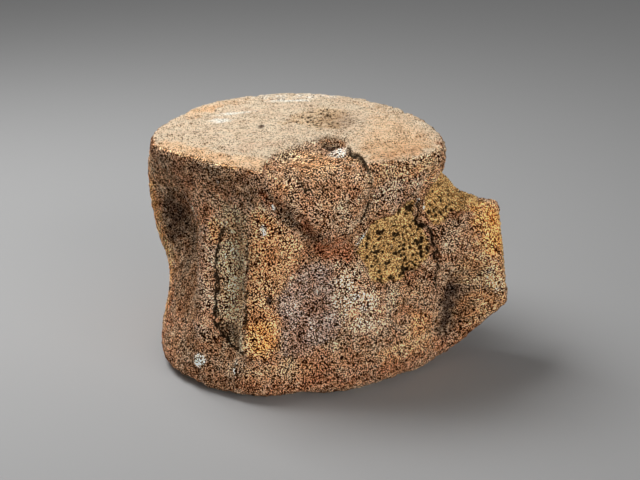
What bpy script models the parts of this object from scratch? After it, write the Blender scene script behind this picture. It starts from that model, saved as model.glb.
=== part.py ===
"""A worn whale vertebra without its arch, standing on one end face.

The drum-shaped body has two flared rims and a narrower waist. Azimuths are in degrees round the
upright axis: 0 faces the front (-Y), 90 the right (+X), and negative ones turn to the left.
The underside of the vertebra faces the front left, where two long ridges flank a groove. A broken
transverse process stands out at the right, the root of the other is at the back left, and the
stumps of the two pedicles flank the floor of the nerve canal at the back right. Where the hard
outer layer is broken off, the spongy bone lies bare, a little sunken and pitted.
"""

import math
import random
from enum import Enum
from typing import NamedTuple

import bmesh
import bpy
from mathutils import Vector

# Body of the vertebra, in metres
BONE_HEIGHT = 0.190
TOP_RADIUS = 0.1120
BASE_RADIUS = 0.1155
WAIST_DEPTH = 0.0135
WAIST_HEIGHT = 0.098
WAIST_FULLNESS = 0.6
TOP_FLANGE = 0.012
BASE_FLANGE = 0.014
TOP_EDGE_ROUND = 0.004
BASE_EDGE_ROUND = 0.005
TOP_DOME = 0.0025
BASE_DOME = 0.0020
CANAL_FLOOR_AZIMUTH = 150.0

# Broken transverse process at the right, in metres and degrees
STUMP_AZIMUTH = 77.0
STUMP_ROOT = 0.060
STUMP_TIP = 0.180

# Meshing
AROUND = 144
SIDE_RINGS = 56
CAP_RINGS = 9
VOXEL = 0.0034
MELT_STEPS = 4
MELT_FACTOR = 0.5
TRIANGLE_SHARE = 0.21
WALL_RADIUS = 0.115
WALL_CORE = 0.084

BONE_COLOUR = (0.42, 0.27, 0.15, 1.0)
BONE_ROUGHNESS = 0.85


class Lobe(NamedTuple):
    """A corner of a rim seen from above: where it points, how far it stands out, how wide it is."""

    azimuth: float
    rise: float
    half_width: float


class Relief(NamedTuple):
    """A ridge, hollow or groove of the side wall; rise is outward, or inward where negative."""

    azimuth: float
    height: float
    half_width: float
    half_height: float
    rise: float
    width_power: float = 2.0
    height_power: float = 4.0
    lean: float = 0.0


TOP_LOBES = (
    Lobe(59.0, 0.017, 25.0),
    Lobe(-69.0, 0.0130, 17.0),
    Lobe(-8.0, 0.009, 24.0),
    Lobe(-170.0, 0.007, 42.0),
    Lobe(122.0, -0.004, 25.0),
    Lobe(-107.0, -0.0025, 14.0),
)
BASE_LOBES = (
    Lobe(-52.0, 0.0120, 19.0),
    Lobe(-20.0, 0.0140, 17.0),
    Lobe(74.0, 0.0145, 22.0),
    Lobe(25.0, 0.0050, 22.0),
    Lobe(-92.0, 0.0025, 22.0),
    Lobe(-150.0, 0.006, 40.0),
    Lobe(128.0, -0.004, 30.0),
)

SIDE_RELIEF = (
    # Underside of the vertebra: ridge, groove and ridge, with a long hollow on each flank
    Relief(-40.0, 0.092, 6.5, 0.068, 0.0100, 2.5),
    Relief(-27.5, 0.088, 6.0, 0.060, -0.0085, 4.0, 6.0),
    Relief(-27.0, 0.045, 4.8, 0.0080, -0.0055, 2.5, 2.5, -420.0),
    Relief(-14.5, 0.086, 8.0, 0.064, 0.0095, 3.5, 6.0),
    Relief(-68.0, 0.124, 12.0, 0.040, -0.0210, 2.0, 2.5),
    Relief(-56.0, 0.086, 9.0, 0.048, -0.0080, 2.0, 3.0),
    Relief(-95.0, 0.125, 15.0, 0.050, 0.0215, 2.5, 3.0),
    Relief(4.0, 0.078, 10.0, 0.040, -0.0090, 2.0, 3.0),
    Relief(28.0, 0.082, 12.0, 0.032, 0.0050, 2.0, 2.5),
    # Smaller hollows of the front
    Relief(-10.4, 0.0825, 2.2, 0.0055, -0.0048, 2.5, 2.5),
    Relief(-71.0, 0.070, 6.5, 0.018, -0.0024, 2.0, 2.5),
    Relief(-50.0, 0.130, 7.0, 0.020, -0.0018, 2.0, 2.5),
    Relief(44.0, 0.056, 7.0, 0.013, -0.0024, 2.0, 2.5),
    Relief(36.0, 0.164, 5.0, 0.013, -0.0022, 2.0, 2.5),
    Relief(8.0, 0.030, 8.0, 0.010, -0.0022, 2.0, 2.5),
    # Hollow under the broken process
    Relief(62.0, 0.062, 12.0, 0.026, -0.0060, 2.0, 2.5),
    # Root of the other transverse process, worn down to a long low stump
    Relief(-141.0, 0.088, 13.0, 0.052, 0.0300, 3.0, 3.0, -60.0),
    # Stumps of the two pedicles and the sunken floor of the nerve canal between them
    Relief(CANAL_FLOOR_AZIMUTH - 26.0, 0.112, 8.0, 0.048, 0.0250, 4.0, 6.0),
    Relief(CANAL_FLOOR_AZIMUTH + 26.0, 0.112, 8.0, 0.048, 0.0240, 4.0, 6.0),
    Relief(CANAL_FLOOR_AZIMUTH, 0.100, 13.0, 0.070, -0.0080, 2.5, 3.0),
    Relief(CANAL_FLOOR_AZIMUTH - 5.0, 0.096, 2.6, 0.012, -0.0050, 2.0, 2.0),
    Relief(CANAL_FLOOR_AZIMUTH + 5.0, 0.100, 2.4, 0.010, -0.0050, 2.0, 2.0),
    # Hollows between those roots
    Relief(104.0, 0.090, 12.0, 0.045, -0.0060, 2.0, 2.5),
    Relief(-170.0, 0.085, 10.0, 0.045, -0.0050, 2.0, 2.5),
    Relief(-112.0, 0.092, 12.0, 0.040, -0.0050, 2.0, 2.5),
    Relief(110.0, 0.050, 7.0, 0.013, -0.0026, 2.0, 2.5),
    Relief(-165.0, 0.130, 7.0, 0.020, -0.0024, 2.0, 2.5),
    Relief(-100.0, 0.050, 6.0, 0.013, -0.0022, 2.0, 2.5),
)

# Wedge that carries the front of the upper rim: height, left edge and right edge, from the top down
WEDGE_EDGES = (
    (0.190, -11.0, 25.5),
    (0.178, -7.5, 27.5),
    (0.166, -3.0, 28.2),
    (0.155, 1.0, 26.0),
    (0.139, 7.5, 22.5),
    (0.120, 13.0, 17.5),
)
WEDGE_RISE = 0.0125
WEDGE_FADE = 0.35
WEDGE_EDGE = 3.0
WEDGE_TIP_STEEPNESS = 6.0

# Plan of the bite broken out of the front of the upper rim: y, left edge and right edge
BITE_PLAN = (
    (-0.0270, 0.0235, 0.0245),
    (-0.0360, 0.0210, 0.0310),
    (-0.0431, 0.0170, 0.0363),
    (-0.0480, 0.0055, 0.0370),
    (-0.0599, -0.0008, 0.0380),
    (-0.0707, -0.0114, 0.0392),
    (-0.0780, -0.0165, 0.0440),
    (-0.0860, -0.0205, 0.0490),
    (-0.1000, -0.0232, 0.0512),
    (-0.1172, -0.0242, 0.0540),
    (-0.1450, -0.0265, 0.0580),
)
BITE_STEP_DEPTH = 0.0035
BITE_SLOPE_DROP = 0.0100
BITE_SHOULDER_DROP = 0.0260
BITE_SHOULDER_RADIUS = 0.085
BITE_SHOULDER_RUN = 0.035
BITE_SHOULDER_POWER = 2.5
BITE_LEFT_EASE = 0.030
BITE_RIGHT_EASE = 0.030
BITE_ROWS = 40
BITE_COLUMNS = 16
CUT_CLEARANCE = 0.020


class Seen(Enum):
    """How a broken place is laid out flat."""

    ROUND_WALL = "azimuth and height"
    FROM_ABOVE = "x and y"
    FROM_STUMP_END = "sideways on the process and height"


class Patch(NamedTuple):
    """A broken place of the surface, with its closed outline and how deep it lies."""

    seen: Seen
    outline: tuple[tuple[float, float], ...]
    depth: float
    ease: float = 0.0040
    pitted: bool = True


PATCHES = (
    # Right of the wedge, on the root of the broken process
    Patch(Seen.ROUND_WALL, (
        (25.5, 0.114), (28.9, 0.127), (32.8, 0.140), (36.5, 0.142), (41.6, 0.143), (45.5, 0.149),
        (50.4, 0.153), (54.0, 0.138), (57.2, 0.125), (58.8, 0.114), (60.0, 0.097), (56.9, 0.088),
        (49.2, 0.081), (38.8, 0.083), (33.2, 0.088), (30.8, 0.095), (29.3, 0.105),
    ), 0.0018),
    # Break above the front of the broken process
    Patch(Seen.ROUND_WALL, (
        (56.0, 0.150), (58.0, 0.158), (64.0, 0.166), (72.0, 0.162), (72.0, 0.136), (66.0, 0.131),
        (61.9, 0.126), (59.0, 0.124), (57.5, 0.132),
    ), 0.0016),
    # Its top and its broken end
    Patch(Seen.FROM_ABOVE, (
        (0.127, -0.050), (0.142, -0.053), (0.168, -0.055), (0.172, -0.030), (0.150, -0.012),
        (0.132, -0.010), (0.125, -0.024),
    ), 0.0012),
    Patch(Seen.FROM_STUMP_END, (
        (-0.012, 0.124), (0.004, 0.128), (0.016, 0.118), (0.018, 0.080), (0.014, 0.056), (-0.008, 0.056),
        (-0.012, 0.090),
    ), 0.0012),
    # Worn end of the other process
    Patch(Seen.ROUND_WALL, (
        (-131.0, 0.070), (-131.0, 0.108), (-136.0, 0.128), (-146.0, 0.126), (-151.0, 0.098),
        (-150.0, 0.064), (-143.0, 0.046), (-134.0, 0.050),
    ), 0.0018),
    # Broken pedicles
    Patch(Seen.ROUND_WALL, (
        (117.0, 0.076), (117.0, 0.146), (123.5, 0.156), (130.0, 0.146), (130.0, 0.078), (124.0, 0.066),
    ), 0.0016),
    Patch(Seen.ROUND_WALL, (
        (169.0, 0.078), (169.0, 0.146), (174.0, 0.156), (179.5, 0.146), (179.5, 0.076), (174.0, 0.066),
    ), 0.0016),
    # Deep hollow at the root of the broken process
    Patch(Seen.ROUND_WALL, (
        (63.4, 0.028), (62.6, 0.056), (63.4, 0.084), (67.0, 0.090), (70.4, 0.076), (71.4, 0.050),
        (70.0, 0.032), (66.5, 0.022),
    ), 0.0085, 0.0180, False),
    # Pocket under the broken edge of the upper end plate
    Patch(Seen.FROM_ABOVE, (
        (0.0165, -0.0400), (0.0215, -0.0330), (0.0268, -0.0285), (0.0330, -0.0340), (0.0400, -0.0450),
        (0.0345, -0.0462), (0.0300, -0.0510), (0.0262, -0.0545), (0.0215, -0.0480),
    ), 0.0052, 0.0040, False),
)
STUMP_END_REACH = 0.158
FACING_SHARE = 0.45
PIT_SPACING = 0.0190
PIT_SCATTER = 0.0035
PIT_RADIUS = 0.0050
PIT_INSET = 0.8
PIT_DEPTH = 0.0034
PIT_SEED = 7


def angle_between(azimuth: float, other: float) -> float:
    """Signed turn from other to azimuth, from -180 to 180 degrees."""
    return (azimuth - other + 180.0) % 360.0 - 180.0


def smooth_step(value: float) -> float:
    """Smooth rise from 0 to 1."""
    held = min(1.0, max(0.0, value))
    return held * held * (3.0 - 2.0 * held)


def outline_radius(azimuth: float, radius: float, lobes: tuple[Lobe, ...]) -> float:
    """Radius of a rim at an azimuth."""
    for lobe in lobes:
        turn = angle_between(azimuth, lobe.azimuth) / lobe.half_width
        radius += lobe.rise * math.exp(-turn * turn)
    return radius


def relief_rise(relief: Relief, azimuth: float, height: float) -> float:
    """How far one ridge or hollow moves the wall outward at a place."""
    up = (height - relief.height) / relief.half_height
    centre = relief.azimuth + relief.lean * (height - relief.height)
    turn = angle_between(azimuth, centre) / relief.half_width
    fall = abs(turn) ** relief.width_power + abs(up) ** relief.height_power
    return relief.rise * math.exp(-fall)


def between(rows: tuple[tuple[float, float, float], ...], place: float) -> tuple[float, float]:
    """Left and right edge at a place along rows whose first value falls."""
    for (start, left, right), (end, next_left, next_right) in zip(rows, rows[1:]):
        if end <= place <= start:
            share = (start - place) / (start - end)
            return left + (next_left - left) * share, right + (next_right - right) * share
    raise ValueError(f"No row reaches {place}")


def wedge_rise(azimuth: float, height: float) -> float:
    """How far the wedge under the front of the upper rim stands out, widest at the rim."""
    if not WEDGE_EDGES[-1][0] <= height <= WEDGE_EDGES[0][0]:
        return 0.0
    left, right = between(WEDGE_EDGES, height)
    turn = angle_between(azimuth, 0.0)
    inside = min(turn - left, right - turn) / WEDGE_EDGE + 0.5
    share = (height - WEDGE_EDGES[-1][0]) / (BONE_HEIGHT - WEDGE_EDGES[-1][0])
    fade = (1.0 - WEDGE_FADE * share) * smooth_step(WEDGE_TIP_STEEPNESS * share)
    return WEDGE_RISE * smooth_step(inside) * fade


def waist_share(height: float) -> float:
    """How much of the waist's depth is reached at a height: 0 at the rims, 1 at the waist."""
    rim = BONE_HEIGHT - TOP_FLANGE if height > WAIST_HEIGHT else BASE_FLANGE
    run = (height - rim) / (WAIST_HEIGHT - rim)
    return smooth_step(run) ** WAIST_FULLNESS


def side_radius(azimuth: float, height: float) -> float:
    """Radius of the side wall."""
    top = outline_radius(azimuth, TOP_RADIUS, TOP_LOBES)
    base = outline_radius(azimuth, BASE_RADIUS, BASE_LOBES)
    share = smooth_step(height / BONE_HEIGHT)
    radius = base + (top - base) * share
    radius -= WAIST_DEPTH * waist_share(height)
    for relief in SIDE_RELIEF:
        radius += relief_rise(relief, azimuth, height)
    return radius + wedge_rise(azimuth, height)


def point_at(azimuth: float, radius: float, height: float) -> Vector:
    """Point at an azimuth in degrees, a distance from the axis and a height."""
    turn = math.radians(azimuth)
    return Vector((radius * math.sin(turn), -radius * math.cos(turn), height))


def body_rings() -> list[list[Vector]]:
    """Rings of the body from the centre of the base, up the side, to the centre of the top."""
    azimuths = [360.0 * step / AROUND for step in range(AROUND)]
    rings = []
    for step in range(1, CAP_RINGS + 1):
        share = step / (CAP_RINGS + 1)
        sag = -BASE_DOME * (1.0 - share * share)
        rings.append([
            point_at(a, share * (side_radius(a, 0.0) - BASE_EDGE_ROUND), sag) for a in azimuths
        ])
    for step in range(SIDE_RINGS + 1):
        height = BONE_HEIGHT * step / SIDE_RINGS
        low = max(0.0, 1.0 - height / BASE_EDGE_ROUND)
        high = max(0.0, 1.0 - (BONE_HEIGHT - height) / TOP_EDGE_ROUND)
        inset = BASE_EDGE_ROUND * (1.0 - math.sqrt(1.0 - low * low))
        inset += TOP_EDGE_ROUND * (1.0 - math.sqrt(1.0 - high * high))
        rings.append([point_at(a, side_radius(a, height) - inset, height) for a in azimuths])
    for step in range(CAP_RINGS, 0, -1):
        share = step / (CAP_RINGS + 1)
        rise = BONE_HEIGHT + TOP_DOME * (1.0 - share * share)
        rings.append([
            point_at(a, share * (side_radius(a, BONE_HEIGHT) - TOP_EDGE_ROUND), rise) for a in azimuths
        ])
    return rings


def closed_loft(name: str, rings: list[list[Vector]]) -> bpy.types.Object:
    """Closed mesh through rings of points, each end closed by a fan to its middle."""
    mesh = bmesh.new()
    loops = [[mesh.verts.new(point) for point in ring] for ring in rings]
    count = len(rings[0])
    for lower, upper in zip(loops, loops[1:]):
        for i in range(count):
            j = (i + 1) % count
            mesh.faces.new((lower[i], lower[j], upper[j], upper[i]))
    for loop in (loops[0], loops[-1]):
        middle = mesh.verts.new(sum((vert.co for vert in loop), Vector()) / count)
        for i in range(count):
            mesh.faces.new((middle, loop[i], loop[(i + 1) % count]))
    bmesh.ops.recalc_face_normals(mesh, faces=mesh.faces)
    data = bpy.data.meshes.new(name)
    mesh.to_mesh(data)
    mesh.free()
    made = bpy.data.objects.new(name, data)
    bpy.context.scene.collection.objects.link(made)
    return made


class StumpSection(NamedTuple):
    """One section of the broken process, at a distance from the axis of the body."""

    reach: float
    low: float
    high: float
    half_thickness: float
    sideways: float


STUMP_SECTIONS = (
    StumpSection(STUMP_ROOT, 0.014, 0.150, 0.046, -0.006),
    StumpSection(0.100, 0.004, 0.160, 0.043, -0.008),
    StumpSection(0.120, 0.002, 0.156, 0.036, -0.006),
    StumpSection(0.134, 0.004, 0.144, 0.031, -0.003),
    StumpSection(0.148, 0.013, 0.139, 0.028, 0.000),
    StumpSection(0.162, 0.026, 0.136, 0.026, 0.002),
    StumpSection(STUMP_TIP, 0.042, 0.134, 0.022, 0.003),
)
STUMP_AROUND = 40
STUMP_SQUARENESS = 0.55
STUMP_MIDDLE_WIDTH = 0.86
STUMP_TAPER = 0.18
# Planes that break off the end of the process: a point on each as reach, sideways and height,
# and the way it faces in the same terms
STUMP_BREAKS = (
    ((0.1765, 0.000, 0.070), (1.0, 0.10, 0.14)),
    ((0.1660, 0.000, 0.128), (0.80, -0.30, 0.55)),
    ((0.1770, 0.000, 0.049), (0.70, -0.10, -0.72)),
    ((0.1620, -0.024, 0.110), (0.55, -0.80, 0.20)),
)


def stump_axes() -> tuple[Vector, Vector]:
    """Outward and sideways directions of the process."""
    outward = point_at(STUMP_AZIMUTH, 1.0, 0.0)
    return outward, Vector((-outward.y, outward.x, 0.0))


def make_stump() -> bpy.types.Object:
    """The broken transverse process, a thick plate that stands on edge, cut by its breaks."""
    outward, sideways = stump_axes()
    rings = []
    for section in STUMP_SECTIONS:
        middle = (section.low + section.high) / 2.0
        half = (section.high - section.low) / 2.0
        ring = []
        for step in range(STUMP_AROUND):
            turn = 2.0 * math.pi * step / STUMP_AROUND
            across = math.copysign(abs(math.cos(turn)) ** STUMP_SQUARENESS, math.cos(turn))
            along = math.copysign(abs(math.sin(turn)) ** STUMP_SQUARENESS, math.sin(turn))
            width = section.half_thickness * (STUMP_MIDDLE_WIDTH + STUMP_TAPER * along)
            ring.append(
                outward * section.reach
                + sideways * (section.sideways + width * across)
                + Vector((0.0, 0.0, middle + half * along))
            )
        rings.append(ring)
    stump = closed_loft("transverse_process", rings)
    mesh = bmesh.new()
    mesh.from_mesh(stump.data)
    for place, facing in STUMP_BREAKS:
        point = outward * place[0] + sideways * place[1] + Vector((0.0, 0.0, place[2]))
        normal = outward * facing[0] + sideways * facing[1] + Vector((0.0, 0.0, facing[2]))
        everything = mesh.verts[:] + mesh.edges[:] + mesh.faces[:]
        cut = bmesh.ops.bisect_plane(
            mesh, geom=everything, plane_co=point, plane_no=normal, clear_outer=True
        )
        rim = [item for item in cut["geom_cut"] if isinstance(item, bmesh.types.BMEdge)]
        bmesh.ops.holes_fill(mesh, edges=rim, sides=0)
    bmesh.ops.recalc_face_normals(mesh, faces=mesh.faces)
    mesh.to_mesh(stump.data)
    mesh.free()
    return stump


def bite_depth(x: float, y: float, left: float, right: float) -> float:
    """Depth of the bite's bed below the top between its left and right edges."""
    share = (BITE_PLAN[0][0] - y) / TOP_RADIUS
    over = max(0.0, math.hypot(x, y) - BITE_SHOULDER_RADIUS) / BITE_SHOULDER_RUN
    ease = smooth_step(min((x - left) / BITE_LEFT_EASE, (right - x) / BITE_RIGHT_EASE))
    slope = BITE_SLOPE_DROP * share * share
    return BITE_STEP_DEPTH + slope + BITE_SHOULDER_DROP * ease * over ** BITE_SHOULDER_POWER


def make_bite() -> bpy.types.Object:
    """Cutter for the piece that broke out of the front of the upper rim, with a sloping bed."""
    mesh = bmesh.new()
    above = BONE_HEIGHT + CUT_CLEARANCE
    inner, outer = BITE_PLAN[0][0], BITE_PLAN[-1][0]
    low, high = [], []
    for row in range(BITE_ROWS + 1):
        y = inner + (outer - inner) * row / BITE_ROWS
        left, right = between(BITE_PLAN, y)
        places = [left + (right - left) * column / BITE_COLUMNS for column in range(BITE_COLUMNS + 1)]
        low.append([mesh.verts.new((x, y, BONE_HEIGHT - bite_depth(x, y, left, right))) for x in places])
        high.append([mesh.verts.new((x, y, above)) for x in places])
    for sheet in (low, high):
        for near, far in zip(sheet, sheet[1:]):
            for i in range(BITE_COLUMNS):
                mesh.faces.new((near[i], near[i + 1], far[i + 1], far[i]))
    for below, over in zip((low[0], low[-1]), (high[0], high[-1])):
        for i in range(BITE_COLUMNS):
            mesh.faces.new((below[i], below[i + 1], over[i + 1], over[i]))
    for side in (0, -1):
        for row in range(BITE_ROWS):
            mesh.faces.new((low[row][side], low[row + 1][side], high[row + 1][side], high[row][side]))
    bmesh.ops.recalc_face_normals(mesh, faces=mesh.faces)
    data = bpy.data.meshes.new("bite")
    mesh.to_mesh(data)
    mesh.free()
    bite = bpy.data.objects.new("bite", data)
    bpy.context.scene.collection.objects.link(bite)
    return bite


def depth_inside(across: float, up: float, outline: tuple[tuple[float, float], ...]) -> float:
    """Distance of a place of a plane inside a closed outline, negative outside it."""
    inside = False
    nearest = math.inf
    for (x0, y0), (x1, y1) in zip(outline, outline[1:] + outline[:1]):
        if (up < y0) != (up < y1) and across < x0 + (up - y0) * (x1 - x0) / (y1 - y0):
            inside = not inside
        run_x, run_y = x1 - x0, y1 - y0
        step = ((across - x0) * run_x + (up - y0) * run_y) / (run_x * run_x + run_y * run_y)
        held = min(1.0, max(0.0, step))
        nearest = min(nearest, math.hypot(across - x0 - held * run_x, up - y0 - held * run_y))
    return nearest if inside else -nearest


def laid_out(seen: Seen, point: Vector, normal: Vector) -> tuple[float, float] | None:
    """Where a point of the surface lies on a flat layout, or None if it isn't on it."""
    outward, sideways = stump_axes()
    if seen is Seen.FROM_ABOVE:
        return (point.x, point.y) if normal.z > FACING_SHARE else None
    if seen is Seen.FROM_STUMP_END:
        on_end = point.dot(outward) > STUMP_END_REACH and normal.dot(outward) > FACING_SHARE
        return (point.dot(sideways), point.z) if on_end else None
    on_wall = math.hypot(point.x, point.y) > WALL_CORE and point.z < BONE_HEIGHT - TOP_FLANGE
    return (math.atan2(point.x, -point.y) * WALL_RADIUS, point.z) if on_wall else None


def flat_outline(patch: Patch) -> tuple[tuple[float, float], ...]:
    """Outline of a patch in metres on its flat layout."""
    if patch.seen is not Seen.ROUND_WALL:
        return patch.outline
    return tuple((math.radians(azimuth) * WALL_RADIUS, height) for azimuth, height in patch.outline)


def pit_middles(outline: tuple[tuple[float, float], ...], chance: random.Random) -> list[tuple[float, float]]:
    """Middles of the larger pits inside an outline, on a staggered grid that is scattered a little."""
    low = min(point[0] for point in outline), min(point[1] for point in outline)
    high = max(point[0] for point in outline), max(point[1] for point in outline)
    middles = []
    for row in range(math.ceil((high[1] - low[1]) / PIT_SPACING) + 1):
        for column in range(math.ceil((high[0] - low[0]) / PIT_SPACING) + 1):
            across = low[0] + (column + 0.5 * (row % 2)) * PIT_SPACING
            up = low[1] + (row + 0.5) * PIT_SPACING
            across += chance.uniform(-PIT_SCATTER, PIT_SCATTER)
            up += chance.uniform(-PIT_SCATTER, PIT_SCATTER)
            if depth_inside(across, up, outline) > PIT_INSET * PIT_RADIUS:
                middles.append((across, up))
    return middles


def sink_patches(bone: bpy.types.Object) -> None:
    """Sinks the broken patches, with their pits, into the surface."""
    chance = random.Random(PIT_SEED)
    verts = [(vert, vert.co.copy(), vert.normal.copy()) for vert in bone.data.vertices]
    for patch in PATCHES:
        outline = flat_outline(patch)
        pits = pit_middles(outline, chance) if patch.pitted else []
        for vert, point, normal in verts:
            place = laid_out(patch.seen, point, normal)
            if place is None:
                continue
            sink = patch.depth * smooth_step(depth_inside(*place, outline) / patch.ease + 0.5)
            for pit in pits:
                sink += PIT_DEPTH * smooth_step(1.5 - math.dist(place, pit) / PIT_RADIUS)
            vert.co -= normal * sink


def apply_modifiers(made: bpy.types.Object) -> None:
    """Keeps the shape that the modifiers give and removes them."""
    bpy.context.view_layer.update()
    graph = bpy.context.evaluated_depsgraph_get()
    shaped = bpy.data.meshes.new_from_object(made.evaluated_get(graph))
    made.modifiers.clear()
    old = made.data
    made.data = shaped
    bpy.data.meshes.remove(old)


def add_boolean(made: bpy.types.Object, other: bpy.types.Object, operation: str) -> None:
    """Joins another solid to this one, or cuts it out, and removes the other."""
    modifier = made.modifiers.new(operation.lower(), "BOOLEAN")
    modifier.operation = operation
    modifier.solver = "EXACT"
    modifier.object = other
    apply_modifiers(made)
    bpy.data.objects.remove(other)


def set_on_floor(made: bpy.types.Object) -> None:
    """Flattens the middle of the lower end face, on which the bone rests."""
    for vert in made.data.vertices:
        vert.co.z = max(0.0, vert.co.z)


def bone_material() -> bpy.types.Material:
    """Dry, stained bone."""
    material = bpy.data.materials.new("stained_bone")
    material.use_nodes = True
    shader = material.node_tree.nodes["Principled BSDF"]
    shader.inputs["Base Color"].default_value = BONE_COLOUR
    shader.inputs["Roughness"].default_value = BONE_ROUGHNESS
    shader.inputs["Metallic"].default_value = 0.0
    return material


def make_vertebra() -> bpy.types.Object:
    """The whole bone as one solid."""
    bone = closed_loft("vertebra", body_rings())
    add_boolean(bone, make_stump(), "UNION")
    add_boolean(bone, make_bite(), "DIFFERENCE")
    remesh = bone.modifiers.new("even_mesh", "REMESH")
    remesh.mode = "VOXEL"
    remesh.voxel_size = VOXEL
    melt = bone.modifiers.new("melt_joints", "SMOOTH")
    melt.factor = MELT_FACTOR
    melt.iterations = MELT_STEPS
    apply_modifiers(bone)
    sink_patches(bone)
    set_on_floor(bone)
    thin = bone.modifiers.new("fewer_faces", "DECIMATE")
    thin.ratio = TRIANGLE_SHARE
    thin.use_collapse_triangulate = True
    apply_modifiers(bone)
    set_on_floor(bone)
    bone.data.materials.clear()
    bone.data.materials.append(bone_material())
    bone.data.shade_smooth()
    return bone


def clear_scene() -> None:
    """Removes every object of the startup scene."""
    for made in list(bpy.data.objects):
        bpy.data.objects.remove(made)


def main() -> None:
    clear_scene()
    make_vertebra()


main()
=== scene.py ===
"""Looks of a worn whale vertebra that stands on one end face.

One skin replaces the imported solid: a finer copy of its surface, with the rough cortex, the broken
edge of the end plate, the spongy patches and their pores, the cracks, the ledges and the chips cut
into the mesh, and one finish that is painted by zones. Azimuths are in degrees round the upright
axis: 0 faces the front (-Y), 90 the right (+X) and negative ones turn to the left. Lengths are in
metres.
"""

import logging
import math
import random
from dataclasses import dataclass
from enum import Enum

import bpy
import numpy as np
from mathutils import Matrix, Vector, kdtree, noise


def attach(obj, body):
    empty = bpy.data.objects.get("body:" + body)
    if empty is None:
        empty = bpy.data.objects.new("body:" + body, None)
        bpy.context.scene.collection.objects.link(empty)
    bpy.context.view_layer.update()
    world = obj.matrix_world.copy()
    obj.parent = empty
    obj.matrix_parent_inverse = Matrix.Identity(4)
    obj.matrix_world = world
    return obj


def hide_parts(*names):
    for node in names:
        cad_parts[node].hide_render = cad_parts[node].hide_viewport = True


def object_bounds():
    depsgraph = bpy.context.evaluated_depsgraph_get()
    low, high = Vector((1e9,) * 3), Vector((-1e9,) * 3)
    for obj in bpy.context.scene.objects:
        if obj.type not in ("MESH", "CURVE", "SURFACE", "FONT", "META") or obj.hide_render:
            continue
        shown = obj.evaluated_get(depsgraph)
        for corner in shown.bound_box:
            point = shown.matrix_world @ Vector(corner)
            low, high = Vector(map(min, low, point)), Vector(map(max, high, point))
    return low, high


LOG = logging.getLogger("whale_vertebra")

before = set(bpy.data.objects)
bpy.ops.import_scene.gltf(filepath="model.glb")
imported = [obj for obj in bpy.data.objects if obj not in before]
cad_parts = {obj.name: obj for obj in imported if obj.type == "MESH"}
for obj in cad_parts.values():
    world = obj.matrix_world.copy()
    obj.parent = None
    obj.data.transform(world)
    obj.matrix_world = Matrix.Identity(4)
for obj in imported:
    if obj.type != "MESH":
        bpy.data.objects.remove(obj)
CAD_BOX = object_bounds()

NODE = "vertebra"
BODY = "root"

BONE_HEIGHT = CAD_BOX[1].z
WALL_RADIUS = 0.115  # radius at which azimuths are laid out as distances round the wall
WALL_CORE = 0.084  # nothing nearer to the axis belongs to the wall
PLATE_ZONE = 0.17  # only the upper end of the bone is higher than this
PLATE_SKIN = 0.006  # thickness of the upper end plate
LINE_WIDTH = 0.0014  # half width that the distances painted for cracks are scaled to
FAR_AWAY = 0.02

Array = np.ndarray
Path = tuple[tuple[float, float], ...]
Triple = tuple[float, float, float]
Colour = Triple
Stops = tuple[tuple[float, Colour], ...]


class Zone(Enum):
    """Masks painted on the skin: one number from 0 to 1 at every point of its mesh."""

    END_PLATE = "end_plate"
    SPONGY = "spongy"
    OCHRE = "ochre"
    RUST = "rust"
    ASH = "ash"
    MAUVE = "mauve"
    OLIVE = "olive"
    # Painted shade under the rims, in hollows, creases and the notch, and some dark stain
    SHADE_AND_STAIN = "soot"
    TAN = "tan"
    UMBER = "umber"
    GOLD = "gold"
    APRICOT = "apricot"
    CHALK = "chalk"


class Line(Enum):
    """Numbers painted on the skin, from which the finish draws lines finer than its mesh.

    CRACK and PORE are distances, and CRACK_NEAR says from 0 to 1 how near a crack is.
    """

    CRACK = "crack_distance"
    CRACK_NEAR = "crack_near"
    PORE = "pore_distance"


def smooth_step(value: Array) -> Array:
    """Smooth rise from 0 to 1."""
    held = np.clip(value, 0.0, 1.0)
    return held * held * (3.0 - 2.0 * held)


def turn_between(azimuth: Array, other: Array | float) -> Array:
    """Signed turn from other to azimuth, from -180 to 180 degrees."""
    return (azimuth - other + 180.0) % 360.0 - 180.0


def unrolled(path: Path) -> Path:
    """Points given as azimuth and height, as distances round and up the wall."""
    return tuple((math.radians(azimuth) * WALL_RADIUS, height) for azimuth, height in path)


def signed_distance(across: Array, up: Array, path: Path) -> tuple[Array, Array]:
    """Distance of points of a plane to an open path, with its sign.

    Args:
        across: First coordinate of each point.
        up: Second coordinate of each point.
        path: The path's corners in the same plane.

    Returns:
        The distance, positive on the left of the path's direction, and the share of the path's
        length where each point is nearest to it.
    """
    best = np.full(across.shape, np.inf)
    signed = np.zeros(across.shape)
    share = np.zeros(across.shape)
    last = len(path) - 1
    for index, ((x0, y0), (x1, y1)) in enumerate(zip(path, path[1:])):
        run_x, run_y = x1 - x0, y1 - y0
        length = run_x * run_x + run_y * run_y
        step = np.clip(((across - x0) * run_x + (up - y0) * run_y) / length, 0.0, 1.0)
        away_x, away_y = across - x0 - step * run_x, up - y0 - step * run_y
        far = np.hypot(away_x, away_y)
        side = np.where(run_x * away_y - run_y * away_x >= 0.0, 1.0, -1.0)
        nearer = far < best
        best = np.where(nearer, far, best)
        signed = np.where(nearer, far * side, signed)
        share = np.where(nearer, (index + step) / last, share)
    return signed, share


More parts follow.
